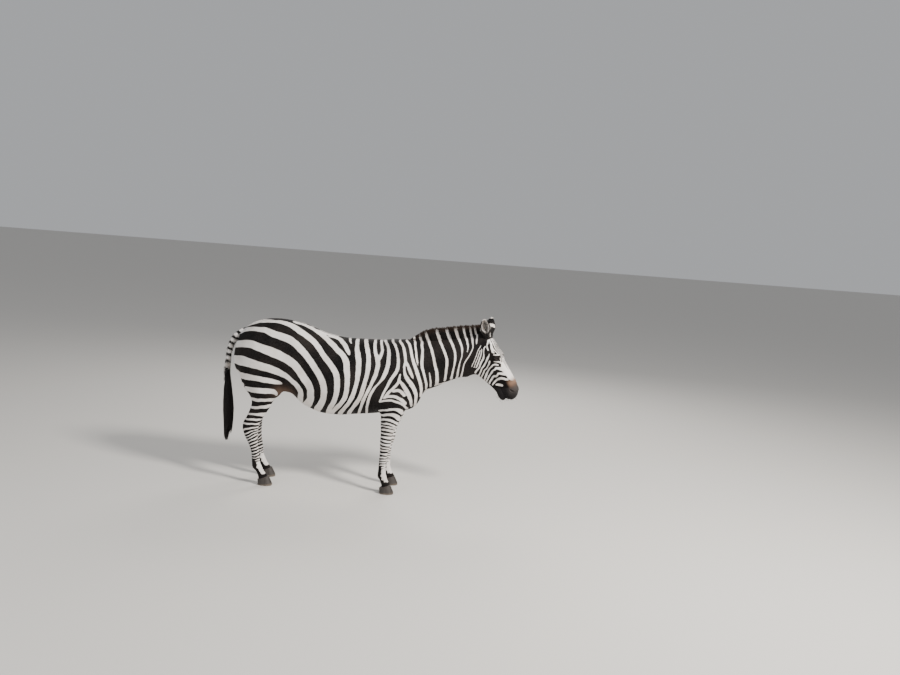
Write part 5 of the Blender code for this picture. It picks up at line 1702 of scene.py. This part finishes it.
# ---------------------------------------------------------------- eyes and hooves
def eyeball_mesh(side):
    """Smooth eyeball with each point's place seen from its front, for pupil and iris."""
    work = bmesh.new()
    bmesh.ops.create_uvsphere(work, u_segments=72, v_segments=48, radius=EYE_RADIUS)
    mesh = bpy.data.meshes.new("eyeball_" + SIDE_NAMES[side])
    work.to_mesh(mesh)
    work.free()
    mesh.transform(Matrix.Translation(Vector(eye_axes(side)[3])))
    right, up, depth = eye_view(read_mesh(mesh)[0], side)
    mesh.shade_smooth()
    store(mesh, {"eye_right": right * 1000, "eye_up": up * 1000})
    return mesh


def lash_mesh(side, draw):
    """Dark lashes along the upper lid, a few finer ones below."""
    inner, upward, facing, centre = eye_axes(side)
    upper = draw.random(LASHES) < 0.85
    half, above, below = EYE_SLIT
    share = draw.uniform(-0.95, 0.80, LASHES)
    arch = 1 - np.abs(share) ** 1.8
    up = np.where(upper, above * arch + 0.0012, -below * arch - 0.0012) - 0.0022 * share
    right = share * half
    level = np.sqrt((EYE_RADIUS + 0.0030) ** 2 - right ** 2 - up ** 2)
    roots = centre + right[:, None] * inner + up[:, None] * upward + level[:, None] * facing
    rise = np.where(upper, -0.05, -0.45)
    way = unit(facing + rise[:, None] * upward + (0.5 * share)[:, None] * inner
               + draw.normal(0, 0.10, (LASHES, 3)))
    long = np.where(upper, draw.uniform(0.006, 0.010, LASHES), draw.uniform(0.002, 0.004, LASHES))
    levels = np.linspace(0, 1, 5)
    bend = (np.where(upper, -0.35, -0.10) * long)[:, None] * upward
    paths = straight(roots, way * long[:, None], levels)
    paths += straight(0 * roots, bend, levels ** 2)
    widths = np.tile(0.00042 * np.array([1, 1, 0.8, 0.6, 0.2]), (LASHES, 1))
    return hair_mesh("lashes_" + SIDE_NAMES[side], paths, widths, levels, 0.5 + 0.5 * share,
                     0.25 + 0.5 * upper, flatness=0.8)


def whisker_mesh(skin, draw):
    """Long single hairs on the lips and chin."""
    places, normals, triangles, values = skin
    along, left, out = head_local(places).T
    fitting = np.flatnonzero((values["muzzle"] > 0.9) & (along > 0.82) & (out < -0.13))
    chosen = draw.choice(fitting, WHISKERS, replace=False)
    down_the_face = head_frame()[1][0]
    way = unit(normals[chosen] + 0.35 * down_the_face + draw.normal(0, 0.15, (WHISKERS, 3)))
    long = draw.uniform(0.010, 0.026, WHISKERS)
    levels = np.linspace(0, 1, 5)
    paths = straight(places[chosen] - normals[chosen] * 0.001, way * long[:, None], levels)
    paths[:, :, 2] -= 0.18 * long[:, None] * levels[None] ** 2
    widths = np.tile(0.0005 * np.array([1, 0.9, 0.7, 0.5, 0.15]), (WHISKERS, 1))
    return hair_mesh("whiskers", paths, widths, levels, along[chosen], 0.5 + left[chosen],
                     flatness=0.8)


PUPIL = (0.001, 0.001, 0.002)
IRIS_DARK = (0.008, 0.0035, 0.002)
IRIS_LIGHT = (0.024, 0.011, 0.006)
EYE_RIM = (0.010, 0.006, 0.005)


def eye_material():
    """Glossy dark eye: a wide pupil, brown iris and near-black rim."""
    made, tree, shader = new_material("zebra_eye", 0.08, 0.3, Coat_Weight=0.6, Coat_Roughness=0.02)
    right = attribute(tree, "eye_right")
    up = attribute(tree, "eye_up")
    across = math_node(tree, "MULTIPLY", right, right)
    low = math_node(tree, "MULTIPLY", up, 1.9)
    distances = [math_node(tree, "SQRT", math_node(tree, "ADD", across, math_node(
        tree, "MULTIPLY", height, height))) for height in (up, low)]
    iris = mix_node(tree, noise_node(tree, 900, 2.0), IRIS_DARK, IRIS_LIGHT)
    iris = mix_node(tree, ramp_node(tree, distances[1], 7.0, 9.0), PUPIL, iris)
    colour = mix_node(tree, ramp_node(tree, distances[0], 13.0, 15.5), iris, EYE_RIM)
    tree.links.new(colour, shader.inputs["Base Color"])
    return made


def foot_places():
    """Name, X, Y of the sole's middle, and kind, for each hoof."""
    feet = []
    for side, label in SIDE_NAMES.items():
        for kind in LIMBS:
            y = -SOLES[kind] - (LEFT_AHEAD[kind] if side > 0 else 0)
            feet.append((kind + "_hoof_" + label, side * TRACKS[kind], y, kind))
    return feet


def coronet_height(ahead):
    """Height of the hair line, which rises toward the toe."""
    return HOOF_HEIGHT + CORONET_SLOPE * ahead


# Share of the height: half width as a share of the hoof's, reach ahead, behind, and shift ahead.
HOOF_PROFILE = np.array([
    (0.00, 0.955, 0.0585, 0.0520, 0.000), (0.05, 0.990, 0.0600, 0.0550, 0.000),
    (0.50, 0.900, 0.0520, 0.0490, 0.006), (0.90, 0.825, 0.0440, 0.0450, 0.013),
    (1.00, 0.800, 0.0415, 0.0425, 0.014), (1.04, 0.620, 0.0310, 0.0320, 0.014)])
HOOF_SIDES = 72


def hoof_mesh(name, x, y, kind):
    """Hoof with a flat sole, growth rings, soft bulbs at the heel and a rounded coronet."""
    turn = np.linspace(0, 2 * math.pi, HOOF_SIDES, endpoint=False)
    cosine = np.cos(turn)
    aside = np.abs(np.sin(turn)) ** 0.92 * np.sign(np.sin(turn))
    shares = np.concatenate([[0, 0.015, 0.05], np.linspace(0.08, 1.0, 34), [1.03, 1.04]])
    rings = []
    for share in shares:
        across, ahead, behind, shift = [
            smooth_curve(share, HOOF_PROFILE[:, 0], HOOF_PROFILE[:, i]) for i in range(1, 5)]
        growth = 0.00015 * np.sin(share * 46 + 0.8 * np.sin(turn)) * (0.08 < share < 0.93)
        growth += 0.0012 * bump_at(share, 0.96, 0.035)
        heel = 1 - 0.10 * bump_at(turn, math.pi, 0.16) * (share > 0.3)
        reach = np.where(cosine > 0, ahead, behind) * heel + growth
        forward = reach * cosine - shift
        top = coronet_height(forward) - 0.0006
        height = min(share, 1.0) * top + 0.0025 * max(share - 1, 0) / 0.04
        half = HOOF_HALF_WIDTH[kind] * across + growth
        rings.append(np.stack([x + half * aside, y - forward, height], axis=1))
    mesh = closed_mesh(name + "_horn", np.concatenate(rings), tube_faces(len(rings), HOOF_SIDES))
    store(mesh, {"height": np.repeat(shares, HOOF_SIDES), "front": np.tile(cosine, len(shares))})
    return mesh


HORN_DARK = (0.018, 0.015, 0.014)
HORN_GREY = (0.060, 0.050, 0.043)
HORN_WORN = (0.24, 0.19, 0.145)
CORONET = (0.045, 0.034, 0.030)
MANE_TIP_DARK = (0.014, 0.008, 0.006)
MANE_TIP_BROWN = (0.050, 0.030, 0.020)
TAIL_BLACK = (0.0035, 0.003, 0.003)
TAIL_BROWN = (0.020, 0.015, 0.0135)


def hoof_material():
    """Streaked grey horn, worn paler at the ground and brown at the coronet."""
    made, tree, shader = new_material("zebra_hoof", 0.55, 0.4)
    height = attribute(tree, "height")
    streaks = noise_node(tree, 70, 3.0, (1.0, 1.0, 0.12))
    rings = noise_node(tree, 120, 2.0, (0.1, 0.1, 1.0))
    grey = mix_node(tree, streaks, HORN_DARK, HORN_GREY)
    worn = math_node(tree, "MULTIPLY", ramp_node(tree, height, 0.30, 0.0), noise_node(tree, 45))
    colour = mix_node(tree, worn, grey, HORN_WORN)
    colour = mix_node(tree, ramp_node(tree, height, 0.93, 0.99), colour, CORONET)
    tree.links.new(colour, shader.inputs["Base Color"])
    ridges = math_node(tree, "ADD", streaks, rings)
    tree.links.new(bump_node(tree, ridges, 0.12, 0.0006), shader.inputs["Normal"])
    return made


def mane_material():
    """The coat's colours, with the blades' tips brown."""
    made, tree, shader = new_material("zebra_mane", 0.58, 0.2)
    streaks = noise_node(tree, 160, 2.0, (1.0, 1.0, 0.10))
    tip = math_node(tree, "ADD", attribute(tree, "tip"), math_node(tree, "MULTIPLY", streaks, 0.16))
    dark_tip = mix_node(tree, streaks, MANE_TIP_DARK, MANE_TIP_BROWN)
    colour = mix_node(tree, ramp_node(tree, tip, 0.84, 1.0), coat_colour(tree), dark_tip)
    tree.links.new(colour, shader.inputs["Base Color"])
    return made


def tail_material():
    """Streaked black, for the tail's tuft, the lashes and the whiskers."""
    made, tree, shader = new_material("zebra_tail_hair", 0.5, 0.3)
    streaks = noise_node(tree, 120, 2.0, (1.0, 1.0, 0.08))
    tree.links.new(mix_node(tree, streaks, TAIL_BLACK, TAIL_BROWN), shader.inputs["Base Color"])
    return made


# ---------------------------------------------------------------- the animal
LEG_PARTS = ("forearm_", "fore_cannon_", "fore_pastern_", "gaskin_", "hind_cannon_",
             "hind_pastern_")
SKIN_NODES = ["head", "neck", "chest", "barrel", "haunches"]
SKIN_NODES += [part + label for part in LEG_PARTS for label in SIDE_NAMES.values()]


def build_animal():
    """Every piece of the animal, from the skin outward."""
    draw = np.random.default_rng(SEED)
    plane = stripe_plane()
    skin_mesh = make_skin()
    places, normals, triangles = read_mesh(skin_mesh)
    values = markings(places, plane)
    store(skin_mesh, values)
    skin = (places, normals, triangles, values)
    coat = coat_material()
    dark_hair = tail_material()
    mane = mane_material()
    for number in range(len(COAT_PIECES)):
        place_object(coat_piece(number, skin, plane, draw), "striped_coat", coat)
    place_object(skin_mesh, "striped_coat", skin_material(), *SKIN_NODES)
    place_object(mane_mesh(plane, draw), "mane", mane, "mane")
    place_object(mane_core(plane), "mane", mane)
    dock = dock_mesh()
    hair_on_dock = dock_coat(dock, draw)
    place_object(dock, "striped_coat", coat, "tail_dock")
    place_object(hair_on_dock, "striped_coat", coat)
    place_object(tuft_locks(draw), "tail_hair", dark_hair, "tail_tuft")
    place_object(whisker_mesh(skin, draw), "tail_hair", dark_hair)
    eye = eye_material()
    for side, label in SIDE_NAMES.items():
        place_object(ear_mesh(side), "striped_coat", coat, "ear_" + label)
        place_object(ear_hair(side, draw), "striped_coat", coat)
        place_object(lash_mesh(side, draw), "tail_hair", dark_hair)
        place_object(eyeball_mesh(side), "eye", eye, "eye_" + label)
    horn = hoof_material()
    for foot in foot_places():
        place_object(hoof_mesh(*foot), "hoof", horn, foot[0])


# ---------------------------------------------------------------- floor, lights and camera
CAMERA_PLACE = (-6.980, -0.469, 2.101)
CAMERA_YAW = 1.092
CAMERA_DOWN = 6.755
CAMERA_ROLL = 4.416
CAMERA_LENS = 35.2
FLOOR_HALF = 60
LAMP_TARGET = Vector((0, 0, 0.8))
# Name: place, size, power and colour of each lamp.
LAMPS = {
    "key": ((-3.6, -4.6, 5.4), 1.5, 900, (1.0, 0.965, 0.91)),
    "fill": ((-5.0, 4.5, 2.6), 4.0, 120, (0.94, 0.97, 1.0)),
    "rim": ((5.0, -1.0, 4.5), 3.0, 200, (1.0, 0.97, 0.93)),
}


def build_floor():
    """Plain flat floor under the hooves."""
    corners = [(x * FLOOR_HALF, y * FLOOR_HALF, 0) for x, y in ((-1, -1), (1, -1), (1, 1), (-1, 1))]
    mesh = quick_mesh("floor", corners, [(0, 1, 2), (0, 2, 3)])
    floor = new_material("floor", 0.9, 0.2, Base_Color=(0.62, 0.60, 0.57, 1))[0]
    mesh.materials.append(floor)
    stage_object("floor", mesh)


def stage_object(name, data):
    """Put floor, lamp or camera in the scene, outside the model."""
    made = bpy.data.objects.new(name, data)
    bpy.context.scene.collection.objects.link(made)
    return made


def build_lights():
    """Pale surroundings and three round lamps that face the animal."""
    world = bpy.data.worlds.new("studio")
    bpy.context.scene.world = world
    world.use_nodes = True
    back = world.node_tree.nodes["Background"]
    back.inputs["Color"].default_value = (0.88, 0.90, 0.93, 1)
    back.inputs["Strength"].default_value = 0.48
    for name, (place, size, power, colour) in LAMPS.items():
        lamp = bpy.data.lights.new(name, "AREA")
        lamp.shape = "DISK"
        lamp.size = size
        lamp.energy = power
        lamp.color = colour
        made = stage_object(name, lamp)
        made.location = place
        made.rotation_euler = (LAMP_TARGET - made.location).to_track_quat("-Z", "Y").to_euler()


def build_camera():
    """Camera at the photo's place, turned and rolled as it was."""
    down, yaw, roll = [math.radians(a) for a in (CAMERA_DOWN, CAMERA_YAW, CAMERA_ROLL)]
    ahead = Vector((math.cos(down) * math.cos(yaw), -math.cos(down) * math.sin(yaw), -math.sin(down)))
    right = ahead.cross(Vector((0, 0, 1))).normalized()
    up = right.cross(ahead)
    turned_right = right * math.cos(roll) + up * math.sin(roll)
    turned_up = -right * math.sin(roll) + up * math.cos(roll)
    view = bpy.data.cameras.new("camera")
    view.lens = CAMERA_LENS
    view.sensor_width = 36
    made = bpy.data.objects.new("camera", view)
    axes = Matrix((turned_right, turned_up, -ahead)).transposed().to_4x4()
    made.matrix_world = Matrix.Translation(CAMERA_PLACE) @ axes
    bpy.context.scene.collection.objects.link(made)
    bpy.context.scene.camera = made


build_animal()
build_floor()
build_lights()
build_camera()
